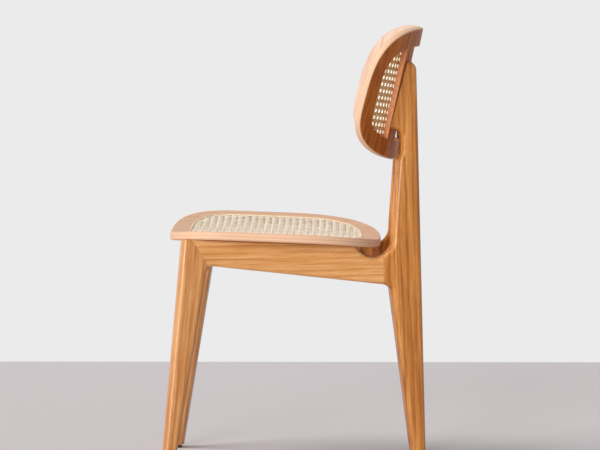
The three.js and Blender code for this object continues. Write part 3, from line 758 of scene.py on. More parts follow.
@dataclass(frozen=True)
class Bend:
    """A sheet bent about one axis, a across it, b along it and t out of its hollow face.

    With a cone, the radius grows along the sheet, which stays where it was at the held distance across.
    """

    radius: float
    place: Matrix
    cone: float = 0.0
    cone_start: float = 0.0
    held: float = 0.0

    def sag(self, radius: float) -> float:
        """Gives how far the sheet has risen at the held distance across, for a radius."""
        return radius * (1 - math.cos(self.held / radius))

    def at(self, a: float, b: float, t: float) -> Vector:
        """Gives the place of a point of the sheet.

        Args:
            a: Distance across, along the bend.
            b: Distance along the straight lines.
            t: Height above the hollow face.

        Returns:
            The point in the row frame.
        """
        radius = self.radius + self.cone * (b - self.cone_start)
        near = radius - t
        rise = radius - near * math.cos(a / radius) - self.sag(radius) + self.sag(self.radius)
        return self.place @ Vector((near * math.sin(a / radius), b, rise))

    def block(self, name: str, low: Corner, high: Corner, steps: int, rows: int = 8) -> Mesh:
        """Makes a bent block.

        Args:
            name: The mesh's name.
            low: Its least a, b and t.
            high: Its greatest a, b and t.
            steps: Facets across.
            rows: Facets along.

        Returns:
            A closed solid.
        """
        there = [low[1] + (high[1] - low[1]) * k / rows for k in range(rows + 1)]
        loop = [(b, low[2]) for b in there] + [(b, high[2]) for b in reversed(there)]
        across = [low[0] + (high[0] - low[0]) * k / steps for k in range(steps + 1)]
        points = [self.at(a, b, t) for a in across for b, t in loop]
        return fresh_mesh(name, points, skin(len(across), len(loop)))


@dataclass(frozen=True)
class SoftOval:
    """Two unlike halves of a superellipse with a straight flank between them."""

    half_width: float
    flank: float
    low_reach: float
    low_power: float
    high_reach: float
    high_power: float
    fine_steps: int = 8

    def points(self, stations: int) -> list[Vector]:
        """Walks round the oval in even steps.

        Args:
            stations: How many points.

        Returns:
            Points in anticlockwise order, from the middle of the low end.
        """
        fine = self.fine_steps * stations
        half = []
        for k in range(fine + 1):
            angle = math.pi * (k / fine - 0.5)
            low = angle < 0
            power = 2 / (self.low_power if low else self.high_power)
            reach = self.low_reach if low else self.high_reach
            y = math.copysign(self.flank / 2 + reach * abs(math.sin(angle)) ** power, -1 if low else 1)
            half.append((self.half_width * abs(math.cos(angle)) ** power, y))
        curve = np.array(half)
        walked = np.concatenate([[0], np.cumsum(np.hypot(*np.diff(curve, axis=0).T))])
        wanted = np.linspace(0, walked[-1], stations // 2 + 1)
        across, along = (np.interp(wanted, walked, curve[:, column]) for column in (0, 1))
        right = [Vector(pair) for pair in zip(across, along)]
        right[0].x = right[-1].x = 0
        return right + [Vector((-p.x, p.y)) for p in reversed(right[1:-1])]


# Side frames


class Side(Enum):
    """The chair's two sides, as its sitter names them."""

    LEFT = "left"
    RIGHT = "right"

    @property
    def sign(self) -> int:
        """Gives the side's sign along X."""
        return 1 if self is Side.LEFT else -1

    def copy_of(self, mesh: Mesh) -> Mesh:
        """Gives this side's copy of a solid that was made for the left.

        Args:
            mesh: The solid.

        Returns:
            A new solid.
        """
        made = mesh.copy()
        if self is Side.RIGHT:
            made.transform(Matrix.Scale(-1, 4, LEFTWARDS))
            made.flip_normals()
        return made


@dataclass
class SideFrame:
    """A planar frame of oak: a tapered front leg, a side rail and a rear leg with a hooked head.

    Its own axes are Y, the reach to the rear, and Z, the height. A corner is a reach, a height and a radius.
    """

    thickness: float = 30 * MM
    spread: float = 350 * MM
    toe: float = math.radians(11.7)
    lean: float = math.radians(2.5)
    edge_round: float = 9.2 * MM
    edge_steps: int = 6
    arc_step: float = math.radians(5)
    foot_width: float = 20 * MM
    foot_overrun: float = 3 * MM
    front_foot: float = 241.5 * MM
    rear_foot: float = 241.3 * MM
    front_leg_top: float = 197.8 * MM
    front_corner: Corner = (-152 * MM, 392 * MM, 12 * MM)
    rear_corner: Corner = (177 * MM, 351 * MM, 15 * MM)
    front_seam_top: float = 174.5 * MM
    rear_seam: float = 164 * MM
    scoop_width: float = 68 * MM
    scoop_rear: float = 182 * MM
    scoop_floor: float = 401.5 * MM
    neck_width: float = 31.4 * MM
    neck_round: float = 90 * MM
    neck_foot: float = 442 * MM
    notch_length: float = 41 * MM
    notch_rise: float = 14 * MM
    notch_depth: float = 6.2 * MM
    notch_round: float = 20 * MM
    hook_height: float = 629 * MM
    hook_round: float = 12 * MM
    hook_nose_round: float = 10 * MM
    head_height: float = 751 * MM
    head_width: float = 36 * MM
    head_round: float = 18 * MM
    head_front_round: float = 12 * MM
    rear_edge_top: float = 229.9 * MM
    seat_height: float = 435 * MM
    seat_line: float = 428.7 * MM
    glide_height: float = 6 * MM
    plug_radius: float = 5 * MM
    plug_depth: float = 5 * MM
    plug_middle: float = 686 * MM
    plug_pitch: float = 56 * MM
    plug_fall: float = math.radians(13.8)
    plug_steps: int = 32
    grain_shift: float = 0.45

    def matrix(self) -> Matrix:
        """Gives the place of the left frame's own axes."""
        turn = Matrix.Rotation(self.toe, 4, "Z") @ Matrix.Rotation(-self.lean, 4, "Y")
        return Matrix.Translation((self.spread / 2, 0, 0)) @ turn

    def scoop_middle(self) -> float:
        """Gives the place of the scoop's middle along the chair's own Y."""
        return (self.scoop_rear - self.scoop_width / 2) * math.cos(self.toe)

    def rear_reach(self, height: float) -> float:
        """Gives the reach of the rear leg's rear edge at a height."""
        return line_at((self.rear_foot, 0), (self.rear_edge_top, self.hook_height), height)

    def outline(self) -> list[Vector]:
        """Draws the whole frame in its own plane.

        Returns:
            Its outline, from below the front foot round to the top of the front leg.
        """
        low = -self.foot_overrun
        top = self.seat_height + CUT_OVERRUN
        front_edge = ((-self.front_foot, 0), (-self.front_leg_top, self.seat_height))
        front_inner = ((self.foot_width - self.front_foot, 0), self.front_corner[:2])
        rear_inner = ((self.rear_foot - self.foot_width, 0), self.rear_corner[:2])
        neck = self.rear_edge_top - self.neck_width
        notch = self.hook_height - self.notch_length
        head = self.rear_reach(self.head_height)
        scoop_front = self.scoop_rear - self.scoop_width
        scoop_round = self.scoop_width / 2 - JOINT_GAP
        corners = [
            (line_at(*front_edge, low), low, 0),
            (line_at(*front_inner, low), low, 0),
            self.front_corner,
            self.rear_corner,
            (line_at(*rear_inner, low), low, 0),
            (self.rear_reach(low), low, 0),
            (head, self.head_height, self.head_round),
            (head - self.head_width, self.head_height, self.head_front_round),
            (neck - self.head_width, self.hook_height, self.hook_nose_round),
            (neck, self.hook_height, self.hook_round),
            (neck, notch, self.notch_round),
            (neck - self.notch_depth, notch - self.notch_rise, self.notch_round),
            (self.scoop_rear, self.neck_foot, self.neck_round),
            (self.scoop_rear, self.scoop_floor, scoop_round),
            (scoop_front, self.scoop_floor, scoop_round),
            (scoop_front, top, 0),
            (line_at(*front_edge, top), top, 0),
        ]
        return rounded_corners(corners, self.arc_step)

    def split(self, board: Mesh, start: Point2, end: Point2) -> tuple[Mesh, Mesh]:
        """Saws a board in two at a seam, square to the frame.

        Args:
            board: The board.
            start: The seam's lower end, as reach and height.
            end: Its upper end.

        Returns:
            The pieces before and behind the seam, with the glue line between them.
        """
        turn = self.matrix()
        run = Vector((0, end[0] - start[0], end[1] - start[1])).normalized()
        normal = Vector((0, run.z, -run.y))
        pieces = []
        for way in (-1, 1):
            point = turn @ (Vector((0, *start)) + normal * (way * SEAM_GAP / 2))
            pieces.append(bisected(board, point, turn.to_3x3() @ normal * -way))
        return pieces[0], pieces[1]

    def plugs(self, gap: float, overrun: float) -> list[Mesh]:
        """Makes the round wooden plugs behind the back, or the holes that they fill.

        Args:
            gap: How much wider than the plug.
            overrun: How far it stands out behind the frame.

        Returns:
            A solid for each plug, the lower one first.
        """
        turn = self.matrix()
        fall = turn.to_3x3() @ Vector((0, -math.cos(self.plug_fall), math.sin(self.plug_fall)))
        radius = self.plug_radius + gap
        made = []
        for half in (-1, 1):
            height = self.plug_middle + half * self.plug_pitch / 2
            axes = board_axes(fall, LEFTWARDS, turn @ Vector((0, self.rear_reach(height), height)))
            profile = [(radius, -overrun), (radius, self.plug_depth)]
            made.append(turned_mesh("plug", profile, axes, self.plug_steps))
        return made

    def boards(self, seat_room: Mesh, back_room: Mesh) -> list[tuple[str, Mesh, Vector, Finish]]:
        """Makes the left frame's three boards.

        Args:
            seat_room: The room that the seat takes out of a frame.
            back_room: The room that the back takes out of it.

        Returns:
            Each board's name, its solid, the run of its grain in the frame's own axes, and its finish.
        """
        whole = plank_mesh("frame", self.outline(), self.thickness, self.edge_round, self.edge_steps,
                           self.matrix())
        whole = worked_mesh(whole, [seat_room, back_room])
        whole = bisected(whole, UPWARDS * self.glide_height, -UPWARDS)
        front_leg, behind = self.split(whole, self.front_corner[:2], (-self.front_seam_top, self.seat_line))
        side_rail, rear_leg = self.split(
            behind, (self.rear_seam, self.rear_corner[1]), (self.rear_seam, self.scoop_floor))
        rear_leg = worked_mesh(rear_leg, self.plugs(JOINT_GAP, CUT_OVERRUN))
        front_run = Vector((0, self.front_foot - self.front_leg_top, self.seat_height))
        rear_run = Vector((0, self.rear_edge_top - self.rear_foot, self.hook_height))
        return [
            ("front_leg", front_leg, front_run, OAK),
            ("side_rail", side_rail, BACKWARDS, RAIL_OAK),
            ("rear_leg", rear_leg, rear_run, REAR_OAK),
        ]

    def build(self, seat_room: Mesh, back_room: Mesh) -> None:
        """Builds both frames and dresses them.

        Args:
            seat_room: The room that the seat takes out of a frame.
            back_room: The room that the back takes out of it.
        """
        turn = self.matrix().to_3x3()
        boards = self.boards(seat_room, back_room)
        for number, ((board, mesh, run, finish), side) in enumerate(product(boards, Side)):
            flip = Vector((side.sign, 1, 1))
            grain = (turn @ run).normalized() * flip
            face = (turn @ LEFTWARDS) * flip * side.sign
            start = LEFTWARDS * (side.sign * self.spread / 2) + grain * (self.grain_shift * number)
            add_piece(f"{board}_oak_{side.value}", side.copy_of(mesh), [finish],
                      f"{board}_{side.value}", board_axes(grain, face, start))
        for (name, mesh), side in product(zip(("low", "high"), self.plugs(0, 0)), Side):
            add_piece(f"back_plug_oak_{name}_{side.value}", side.copy_of(mesh), [OAK],
                      f"back_plug_{name}_{side.value}", board_axes(LEFTWARDS, BACKWARDS, ORIGIN))


@dataclass
class Glides:
    """The nylon discs under the feet, with soft edges and a pin up into the leg."""

    height: float = 6 * MM
    edge: float = 1.2 * MM
    edge_steps: int = 4
    pin_radius: float = 2 * MM
    steps: int = 40

    def build(self) -> None:
        """Turns a finer disc for each foot and dresses it."""
        for end, side in product(("front", "rear"), Side):
            node = f"{end}_glide_{side.value}"
            low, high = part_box(node)
            middle = (low + high) / 2
            rim, top = (high.x - low.x) / 2 - self.edge, self.height - JOINT_GAP
            profile = [
                *arc_corner((rim, self.edge), -1, self.edge, self.edge_steps),
                *arc_corner((rim, top - self.edge), 0, self.edge, self.edge_steps),
                (self.pin_radius, top),
                (self.pin_radius, high.z),
            ]
            mesh = turned_mesh(node, profile, Matrix.Translation((middle.x, middle.y, 0)), self.steps)
            add_piece(f"{node}_nylon", mesh, [NYLON], node)


# Cane webbing


class Run(Enum):
    """The four directions in which the strands of the webbing run."""

    ALONG = "along"
    ACROSS = "across"
    RISING = "rising"
    FALLING = "falling"


class CaneFace(IntEnum):
    """The numbers of the webbing's two materials on its mesh."""

    BARK = 0
    PITH = 1


@dataclass(frozen=True)
class Strand:
    """The straight line that a strand follows: its run, its number in its pair, a point and a direction."""

    run: Run
    member: int
    origin: np.ndarray
    direction: np.ndarray

    def inside(self, fence: np.ndarray) -> Point2 | None:
        """Finds where the line enters and leaves an opening.

        Args:
            fence: The opening's outline.

        Returns:
            The distances from the strand's point, or None where it misses.
        """
        after = np.roll(fence, -1, axis=0)
        normal = np.array([-self.direction[1], self.direction[0]])
        here = (fence - self.origin) @ normal
        there = (after - self.origin) @ normal
        hit = here * there < 0
        if hit.sum() < 2:
            return None
        share = (here[hit] / (here[hit] - there[hit]))[:, None]
        met = fence[hit] + (after[hit] - fence[hit]) * share
        walked = (met - self.origin) @ self.direction
        return float(walked.min()), float(walked.max())


@dataclass(frozen=True)
class CaneWeave:
    """Six-way cane webbing: pairs of strands both ways, and a single strand on each diagonal.

    A strand's section has a flat top and two shoulders of bark, over a shallow wedge of pith. Its points are
    shares of its width and thickness. The marks say which of its faces show bark, and which pith.
    """

    pitch: float = 12.7 * MM
    pair_spacing: float = 3.1 * MM
    start: float = 0.0
    strand_width: float = 2.3 * MM
    strand_thickness: float = 0.62 * MM
    section_shares: tuple[Point2, ...] = ((-0.5, 0.0), (-0.26, 0.5), (0.26, 0.5), (0.5, 0.0), (0.0, -0.5))
    section_marks: tuple[int, ...] = (CaneFace.BARK,) * 3 + (CaneFace.PITH,) * 2
    pair_rise: float = 0.3 * MM
    pair_fade_share: float = 0.9
    pair_fade_power: int = 4
    diagonal_rise: float = 0.5 * MM
    tuck_length: float = 2.2 * MM
    tuck_depth: float = 2.4 * MM
    tuck_clear_share: float = 1.3
    least_tucks: float = 3
    sway: float = 0.12 * MM
    sway_turn: float = 2.1
    sway_pitches: float = 3.7

    def height(self, strand: Strand, x: float, y: float) -> float:
        """Gives the height of a strand's middle above the webbing's own middle.

        Args:
            strand: The strand.
            x: Its place across, from the middle of a pair crossing.
            y: Its place along.

        Returns:
            The height.
        """
        if strand.run in (Run.RISING, Run.FALLING):
            lift = math.sin(math.pi * y / self.pitch) ** 2 - math.sin(math.pi * x / self.pitch) ** 2
            return self.diagonal_rise * lift * (1 if strand.run is Run.RISING else -1)
        walked = y if strand.run is Run.ALONG else x
        near = (walked + self.pitch / 2) % self.pitch - self.pitch / 2
        sign = (1 if strand.run is Run.ALONG else -1) * (1 if strand.member else -1)
        fade = math.exp(-(near / (self.pair_fade_share * self.pair_spacing)) ** self.pair_fade_power)
        return self.pair_rise * sign * math.sin(math.pi * near / self.pair_spacing) * fade

    def stations(self, run: Run, start: float, end: float) -> list[float]:
        """Chooses the points of a strand: close at the crossings, wide between them.

        Args:
            run: Which way it runs.
            start: Where it starts.
            end: Where it ends.

        Returns:
            Distances along it, counted from a crossing.
        """
        if run in (Run.ALONG, Run.ACROSS):
            step, half = self.pitch, self.pair_spacing / 2
            offsets = [-2 * half, -half, 0.0, half, 2 * half, step / 2]
        else:
            step = self.pitch / math.sqrt(2)
            offsets = [0.0, step / 4, step / 2, 3 * step / 4]
        tuck, clear = self.tuck_length, self.tuck_length * self.tuck_clear_share
        crossings = range(math.floor(start / step) - 1, math.ceil(end / step) + 2)
        inner = sorted(k * step + offset for k in crossings for offset in offsets)
        kept = [walked for walked in inner if start + clear < walked < end - clear]
        return [start, start + tuck / 2, start + tuck, *kept, end - tuck, end - tuck / 2, end]

    def strands(self, reach: float) -> list[Strand]:
        """Lays the straight lines of all strands over a field.

        Args:
            reach: How far the field reaches from its middle.

        Returns:
            The strands: the pairs both ways, and then the diagonals.
        """
        count = math.ceil(reach / self.pitch)
        along, across = np.array([0.0, 1.0]), np.array([1.0, 0.0])
        rising = (across + along) / math.sqrt(2)
        falling = (along - across) / math.sqrt(2)
        middle = along * self.start
        made = []
        for k, member in product(range(-count, count + 1), (0, 1)):
            offset = k * self.pitch + (member - 0.5) * self.pair_spacing
            made.append(Strand(Run.ALONG, member, middle + across * offset, along))
            made.append(Strand(Run.ACROSS, member, middle + along * offset, across))
        for k in range(-2 * count, 2 * count + 1):
            origin = middle + across * ((k + 0.5) * self.pitch)
            made += [Strand(Run.RISING, 0, origin, rising), Strand(Run.FALLING, 0, origin, falling)]
        return made

    def build(self, name: str, fence: Sequence[Vector], bend: Bend, level: float) -> Mesh:
        """Weaves the webbing into an opening.

        Args:
            name: The mesh's name.
            fence: The outline at which the strands end, under the spline.
            bend: The sheet that it lies in.
            level: The height of its middle there.

        Returns:
            One mesh with every strand, and the attributes "strand" and "along".
        """
        wall = np.array([tuple(p) for p in fence])
        ring = len(self.section_shares)
        points, faces, marks, numbers, walks = [], [], [], [], []
        for number, strand in enumerate(self.strands(float(np.abs(wall).max()) + self.pitch)):
            span = strand.inside(wall)
            if span is None or span[1] - span[0] < self.least_tucks * self.tuck_length:
                continue
            side = np.array([-strand.direction[1], strand.direction[0]])
            first = len(points)
            stations = self.stations(strand.run, *span)
            for walked in stations:
                spot = strand.origin + strand.direction * walked
                swing = self.sway_turn * number + walked / (self.sway_pitches * self.pitch)
                sway = self.sway * math.sin(swing)
                tuck = max(0.0, 1 - min(walked - span[0], span[1] - walked) / self.tuck_length)
                wave = self.height(strand, spot[0], spot[1] - self.start)
                lift = level + wave * (1 - tuck) - self.tuck_depth * tuck ** 2
                for across, up in self.section_shares:
                    place = spot + side * (across * self.strand_width + sway)
                    points.append(bend.at(*place, lift + up * self.strand_thickness))
                    numbers.append(number)
                    walks.append(walked - span[0] + number * self.pitch)
            faces += skin(len(stations), ring, first)
            marks += [*self.section_marks * (len(stations) - 1), CaneFace.BARK, CaneFace.BARK]
        mesh = fresh_mesh(name, points, faces)
        mark_faces(mesh, marks)
        store_values(mesh, "strand", numbers)
        store_values(mesh, "along", walks)
        return mesh


# Seat and back


class PanelFace(IntEnum):
    """The numbers of a panel's materials on its mesh, in the order of its finishes."""

    FRONT = 0
    EDGE = 1
    HIDDEN = 2
    CUT = 3


@dataclass
class CanedPanel:
    """What seat and back share: a bent plywood ring, a groove with its spline, and the webbing.

    Its finishes are those of its front, its outer edge, its hidden face and the cut through its window.
    """

    name: str
    piece: str
    thickness: float
    rim: float
    lip: float
    arris: float
    oval: SoftOval
    finishes: Sequence[Finish]
    grain_face: Corner
    grain_start: Corner
    room_steps: int
    weave: CaneWeave = CaneWeave()
    groove_width: float = 4.5 * MM
    groove_depth: float = 6.5 * MM
    cane_recess: float = 1.8 * MM
    cane_end_share: float = 0.7
    cane_sharp: float = 75.0
    spline_crown: float = 0.9 * MM
    spline_steps: int = 8
    cut_ease: float = 0.6 * MM
    stations: int = 288
    arris_steps: int = 5

    @property
    def bend(self) -> Bend:
        """Gives the bent sheet that the panel is made from."""
        raise NotImplementedError

    def outline(self) -> list[Vector]:
        """Gives the panel's outer edge."""
        return self.oval.points(self.stations)

    def swept(self, profile: Sequence[Point2], marks: Sequence[int] = (0,)) -> Mesh:
        """Sweeps a closed profile round the panel's edge, on its bent sheet.

        Args:
            profile: Inset and height of each point of the section.
            marks: The number of the material of each row of faces, or one for all.

        Returns:
            A closed solid, with its depth in the sheet as the attribute "depth".
        """
        outline, bend = self.outline(), self.bend
        loops = [inset_loop(outline, inset) for inset, _ in profile]
        heights = [height for _, height in profile]
        sections = [zip(places, heights) for places in zip(*loops)]
        points = [bend.at(*place, height) for section in sections for place, height in section]
        mesh = fresh_mesh(self.name, points, skin(len(outline), len(profile), closed=True))
        store_values(mesh, "depth", heights * len(outline))
        mark_faces(mesh, [*marks] * (len(mesh.polygons) // len(marks)))
        return mesh

    def shell(self) -> Mesh:
        """Makes the plywood ring: soft outer edges, the spline's groove and the cane's recess.

        Returns:
            A closed solid.
        """
        soft, steps, ease = self.arris, self.arris_steps, self.cut_ease
        inner = self.rim + self.groove_width
        mouth = inner + self.lip
        profile = [
            *arc_corner((soft, -soft), 1, soft, steps),
            *arc_corner((soft, soft - self.thickness), 2, soft, steps),
            (mouth - ease, -self.thickness),
            (mouth, -self.thickness + ease),
            (mouth, -self.cane_recess - ease / 2),
            (mouth - ease / 2, -self.cane_recess),
            (inner, -self.cane_recess),
            (inner, -self.groove_depth),
            (self.rim, -self.groove_depth),
            (self.rim, 0.0),
        ]
        marks = [PanelFace.EDGE] * (2 * steps + 1) + [PanelFace.HIDDEN] + [PanelFace.CUT] * 3
        return self.swept(profile, marks + [PanelFace.FRONT] * (len(profile) - len(marks)))

    def spline(self) -> Mesh:
        """Makes the reed that wedges the webbing into its groove.

        Returns:
            A closed solid.
        """
        outer = self.rim + JOINT_GAP
        inner = self.rim + self.groove_width - JOINT_GAP
        foot = -self.groove_depth + JOINT_GAP
        angles = [math.pi * k / self.spline_steps for k in range(self.spline_steps + 1)]
        crown = [((outer + inner) / 2 + (inner - outer) / 2 * math.cos(a), self.spline_crown * math.sin(a))
                 for a in angles]
        return self.swept([*crown, (outer, foot), (inner, foot)])

    def build(self) -> None:
        """Builds panel, spline and webbing, and dresses them."""
        run = self.bend.place.to_3x3() @ BACKWARDS
        grain = board_axes(run, Vector(self.grain_face), Vector(self.grain_start))
        add_piece(self.piece, self.shell(), self.finishes, f"{self.name}_panel",
                  grain)
        add_piece(f"{self.name}_spline_reed", self.spline(), [REED], f"{self.name}_spline",
                  board_axes(LEFTWARDS, UPWARDS, ORIGIN))
        fence = inset_loop(self.outline(), self.rim + self.cane_end_share * self.groove_width)
        webbing = self.weave.build(self.name, fence, self.bend, -self.cane_recess / 2)
        # The pith side's darker, browner finish is painted shade
        add_piece(f"{self.name}_cane_webbing", webbing, [CANE, PITH], f"{self.name}_cane",
                  sharp=self.cane_sharp)


@dataclass
class Seat(CanedPanel):
    """The dished seat ring with its field of webbing."""

    name: str = "seat"
    piece: str = "seat_ring_veneered"
    thickness: float = 15 * MM
    rim: float = 33 * MM
    lip: float = 9 * MM
    arris: float = 3 * MM
    oval: SoftOval = SoftOval(half_width=227.5 * MM, flank=65 * MM, low_reach=126 * MM, low_power=3.1,
                              high_reach=191 * MM, high_power=2.85)
    # The hidden face's veneer and the window cut's plywood are darker copies: painted shade
    finishes: Sequence[Finish] = (SEAT_VENEER, PLYWOOD, SHADE_VENEER, SEAT_CUT)
    grain_face: Corner = (0, 0, 1)
    grain_start: Corner = (0, 1.3, 0.435)
    room_steps: int = 96
    dish_radius: float = 1438 * MM
    middle: float = -66.5 * MM
    height: float = 435 * MM
    pitch: float = math.radians(2.06)

    @property
    def bend(self) -> Bend:
        """Gives the dished sheet, which leans back a little."""
        place = Matrix.Translation((0, self.middle, self.height)) @ Matrix.Rotation(-self.pitch, 4, "X")
        return Bend(self.dish_radius, place)

    def room(self, scoop_middle: float) -> Mesh:
        """Gives the room that the seat takes out of the side frames.

        Args:
            scoop_middle: How far back in the chair it reaches.

        Returns:
            A bent block.
        """
        wide = self.oval.half_width + CUT_OVERRUN
        front = -self.oval.flank / 2 - self.oval.low_reach - CUT_OVERRUN
        return self.bend.block("seat_room", (-wide, front, -self.thickness - JOINT_GAP),
                               (wide, scoop_middle - self.middle, 2 * CUT_OVERRUN), self.room_steps)


@dataclass
class Back(CanedPanel):
    """The curved back: a ring with two upright bars, so that the webbing covers three windows."""

    name: str = "back"
    piece: str = "back_shell_veneered"
    thickness: float = 12 * MM
    rim: float = 23 * MM
    lip: float = 6 * MM
    arris: float = 2.5 * MM
    oval: SoftOval = SoftOval(half_width=231 * MM, flank=0.0, low_reach=97 * MM, low_power=3.4,
                              high_reach=145 * MM, high_power=3.15)
    # The hidden face's veneer and the window cut's plywood are darker copies: painted shade
    finishes: Sequence[Finish] = (VENEER, PLYWOOD, SHADE_VENEER, WINDOW_CUT)
    grain_face: Corner = (0, 1, 0)
    grain_start: Corner = (0, 0.2, 1.9)
    room_steps: int = 128
    weave: CaneWeave = CaneWeave(pitch=12 * MM, pair_spacing=3 * MM, start=4 * MM)
    curve_radius: float = 341 * MM
    cone: float = 0.232
    cone_start: float = 93 * MM
    held: float = 200 * MM
    front: float = 189 * MM
    height: float = 668 * MM
    recline: float = math.radians(13.8)
    bar_near: float = 85.5 * MM
    bar_width: float = 42 * MM
    bar_ease: float = 1.2 * MM
    bar_skin: float = 0.15 * MM
    bar_steps: int = 12
    flare: float = 7 * MM
    flare_start: float = 4 * MM
    flare_length_share: float = 1.6
    flare_power: float = 1.5
    flare_steps: int = 6

    @property
    def bend(self) -> Bend:
        """Gives the curved sheet, which stands up and reclines."""
        turn = Matrix.Rotation(math.pi / 2 - self.recline, 4, "X")
        place = Matrix.Translation((0, self.front, self.height)) @ turn
        return Bend(self.curve_radius, place, self.cone, self.cone_start, self.held)

    def room(self) -> Mesh:
        """Gives the room that the back takes out of the side frames' heads."""
        low = (-self.oval.half_width, -self.oval.low_reach, -self.thickness - JOINT_GAP)
        high = (self.oval.half_width, self.oval.high_reach, 2 * CUT_OVERRUN)
        return self.bend.block("back_room", low, high, self.room_steps)

    def bar_levels(self) -> list[Point2]:
        """Chooses the heights of a bar's rows, and how much wider than the bar each row is.

        Returns:
            Height and flare of each row, upwards.
        """
        mouth = self.rim + self.groove_width + self.lip
        levels = []
        for end, way in ((mouth - self.oval.low_reach, 1), (self.oval.high_reach - mouth, -1)):
            for share in [k / self.flare_steps for k in range(self.flare_steps + 1)]:
                inwards = self.flare * share * self.flare_length_share - self.flare_start
                narrowed = (1 - math.sin(share * math.pi / 2)) ** self.flare_power
                levels.append((end + way * inwards, self.flare * narrowed))
        low, high = self.rim / 2 - self.oval.low_reach, self.oval.high_reach - self.rim / 2
        levels += [(low, self.flare), (high, self.flare)]
        # Between the flares the bar is straight, so that even rows over its middle half are enough
        inner = range(self.bar_steps // 4, 3 * self.bar_steps // 4 + 1)
        levels += [(low + (high - low) * k / self.bar_steps, 0.0) for k in inner]
        return sorted(levels)

    def bar(self, side: Side) -> Mesh:
        """Makes an upright bar that flares where it meets the rim.

        Args:
            side: Which of the two.

        Returns:
            A closed solid.
        """
        steps, ease, bend = self.bar_steps, self.bar_ease, self.bend
        top, floor = -self.cane_recess - self.bar_skin, -self.thickness + self.bar_skin
        ways = [2 * k / steps - 1 for k in range(steps + 1)]
        section = [
            *[(way, 0.0, top) for way in ways],
            (1.0, 0.0, floor + ease),
            *[(-way, ease, floor) for way in ways],
            (-1.0, 0.0, floor + ease),
        ]
        middle = self.bar_near + self.bar_width / 2
        levels = self.bar_levels()
        points = []
        for b, flare in levels:
            for way, draw, t in section:
                half = self.bar_width / 2 + flare - draw
                points.append(bend.at(side.sign * (middle + way * half), b, t))
        bar = fresh_mesh("bar", points, skin(len(levels), len(section)))
        cut = [PanelFace.CUT] * 2
        row_marks = [PanelFace.FRONT] * steps + cut + [PanelFace.HIDDEN] * steps + cut
        mark_faces(bar, row_marks * (len(levels) - 1) + cut)
        return bar

    def shell(self) -> Mesh:
        """Makes the ring and joins both bars to it.

        Returns:
            A closed solid.
        """
        made = super().shell()
        for side in Side:
            made = worked_mesh(made, [self.bar(side)], Joinery.JOIN)
        return made


# Pieces that keep the frame's own shape


@dataclass
class Underframe:
    """Cross rails, corner blocks, dowels and screws: the frame's own solids with their finishes, the cross
    rails' one lighter with painted bounce light.
    """

    # The bearer and rails take the cross oak, whose colour carries painted bounce light
    finishes: tuple[tuple[str, Finish], ...] = (
        ("screw", STEEL), ("dowel", BEECH), ("block", BEECH), ("bearer", CROSS_OAK_PAINTED_BOUNCE), ("rail", CROSS_OAK_PAINTED_BOUNCE))

    def build(self) -> None:
        """Dresses each node that nothing replaces, by the first of the words above that its name holds."""
        for name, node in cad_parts.items():
            if node.hide_render:
                continue
            finish = next(finish for word, finish in self.finishes if word in name)
            node.data.materials.clear()
            node.data.materials.append(finish.material())
            LOG.info("%s keeps its solid, in %s", name, finish.name)


# Floor, backdrop, lamps and camera


@dataclass(frozen=True)
class Lamp:
    """A far-off soft lamp.

    Its source is the direction that its light comes from. Its strength is the light on a face square to it,
    where pi shows a colour as it is written. Its angle is how wide it looks from the chair, in degrees.
    """

    name: str
    source: Corner
    strength: float
    colour: str
    angle: float = 30.0

    def hang(self) -> None:
        """Puts the lamp into the scene."""
        data = bpy.data.lights.new(self.name, "SUN")
        data.angle = math.radians(self.angle)
        data.energy = self.strength
        data.color = linear(self.colour)[:3]
        item = bpy.data.objects.new(self.name, data)
        bpy.context.scene.collection.objects.link(item)
        item.rotation_mode = "QUATERNION"
        item.rotation_quaternion = (-Vector(self.source)).to_track_quat("-Z", "Y")


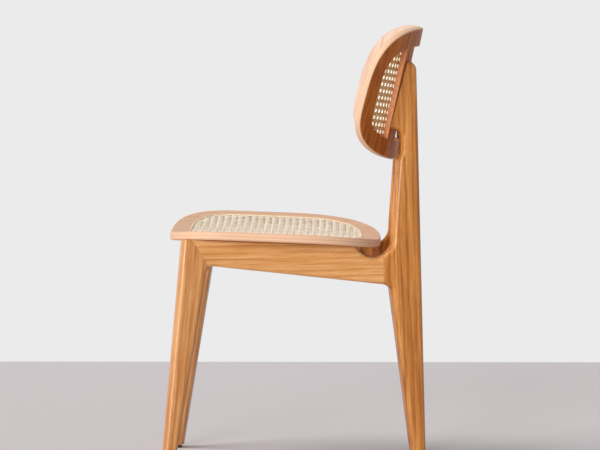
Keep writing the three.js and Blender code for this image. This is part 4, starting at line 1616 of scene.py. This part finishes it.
@dataclass
class Studio:
    """A plain pale floor and backdrop, soft lamps, and a camera at the photograph's angle.

    The lamps light the chair from its front, with a soft fill from its left side, under a dim even world.
    """

    camera_place: Corner = (5.395, 0.066, 0.929)
    focal_pixels: float = 2965.0
    image_width: float = 600.0
    image_height: float = 450.0
    vanishing_point: Point2 = (331.0, -40.0)
    sensor: float = 36.0
    view_reach: float = 60.0
    floor_colour: str = "cfccd1"
    floor_roughness: float = 0.9
    floor_end: float = -1.43
    floor_reach: float = 12.0
    backdrop_colour: str = "ebebec"
    world_colour: str = "ffffff"
    world_light: float = 0.3
    lamps: tuple[Lamp, ...] = (
        Lamp("key", (0.1, -0.6, 1.0), 1.8, "fff8f0"), Lamp("fill", (0.9, -0.42, 0.15), 2.45, "fffdfb"))

    def camera(self) -> None:
        """Sets the camera: it looks level across the chair's side, from a little behind the seat's middle."""
        data = bpy.data.cameras.new("camera")
        data.sensor_width = self.sensor
        data.lens = self.focal_pixels / self.image_width * self.sensor
        data.clip_end = self.view_reach
        item = bpy.data.objects.new("camera", data)
        bpy.context.scene.collection.objects.link(item)
        item.location = self.camera_place
        aside = (self.image_width / 2 - self.vanishing_point[0]) / self.focal_pixels
        down = (self.image_height / 2 - self.vanishing_point[1]) / self.focal_pixels
        item.rotation_mode = "QUATERNION"
        item.rotation_quaternion = Vector((-1, aside, -down)).to_track_quat("-Z", "Y")
        bpy.context.scene.camera = item

    def stage(self) -> None:
        """Lays a matt painted floor that ends a step beyond the chair, where the pale backdrop starts."""
        paint = bpy.data.materials.new("floor_paint")
        paint.use_nodes = True
        shader = paint.node_tree.nodes["Principled BSDF"]
        shader.inputs["Base Color"].default_value = linear(self.floor_colour)
        shader.inputs["Roughness"].default_value = self.floor_roughness
        wide, end = self.floor_reach, self.floor_end
        corners = [(end, -wide, 0), (wide, -wide, 0), (wide, wide, 0), (end, wide, 0)]
        mesh = fresh_mesh("floor", corners, [tuple(range(len(corners)))])
        mesh.materials.append(paint)
        floor = bpy.data.objects.new("floor", mesh)
        bpy.context.scene.collection.objects.link(floor)

    def surround(self) -> None:
        """Sets a dim white world, which the camera and reflections see as the pale backdrop."""
        world = bpy.data.worlds.new("studio")
        bpy.context.scene.world = world
        world.use_nodes = True
        tree = world.node_tree
        tree.nodes.clear()
        rays = add_node(tree, "LightPath").node.outputs
        seen = rays["Is Camera Ray"]
        for ray in ("Is Glossy Ray", "Is Transmission Ray"):
            seen = add_node(tree, "Math", {0: seen, 1: rays[ray]}, operation="MAXIMUM")
        white, backdrop = linear(self.world_colour), linear(self.backdrop_colour)
        dim = add_node(tree, "Background", {"Color": white, "Strength": self.world_light})
        pale = add_node(tree, "Background", {"Color": backdrop, "Strength": 1.0})
        mixed = add_node(tree, "MixShader", {0: seen, 1: dim, 2: pale})
        add_node(tree, "OutputWorld", {"Surface": mixed})

    def build(self) -> None:
        """Sets camera, floor, lamps, world and view."""
        self.camera()
        self.stage()
        for lamp in self.lamps:
            lamp.hang()
        self.surround()
        bpy.context.scene.view_settings.view_transform = "Standard"


def main() -> None:
    """Builds the studio and the chair."""
    logging.basicConfig(level=logging.INFO, format="%(message)s")
    sides, seat, back = SideFrame(), Seat(), Back()
    Studio().build()
    sides.build(seat.room(sides.scoop_middle()), back.room())
    Glides(sides.glide_height).build()
    seat.build()
    back.build()
    Underframe().build()


if __name__ == "__main__":
    main()
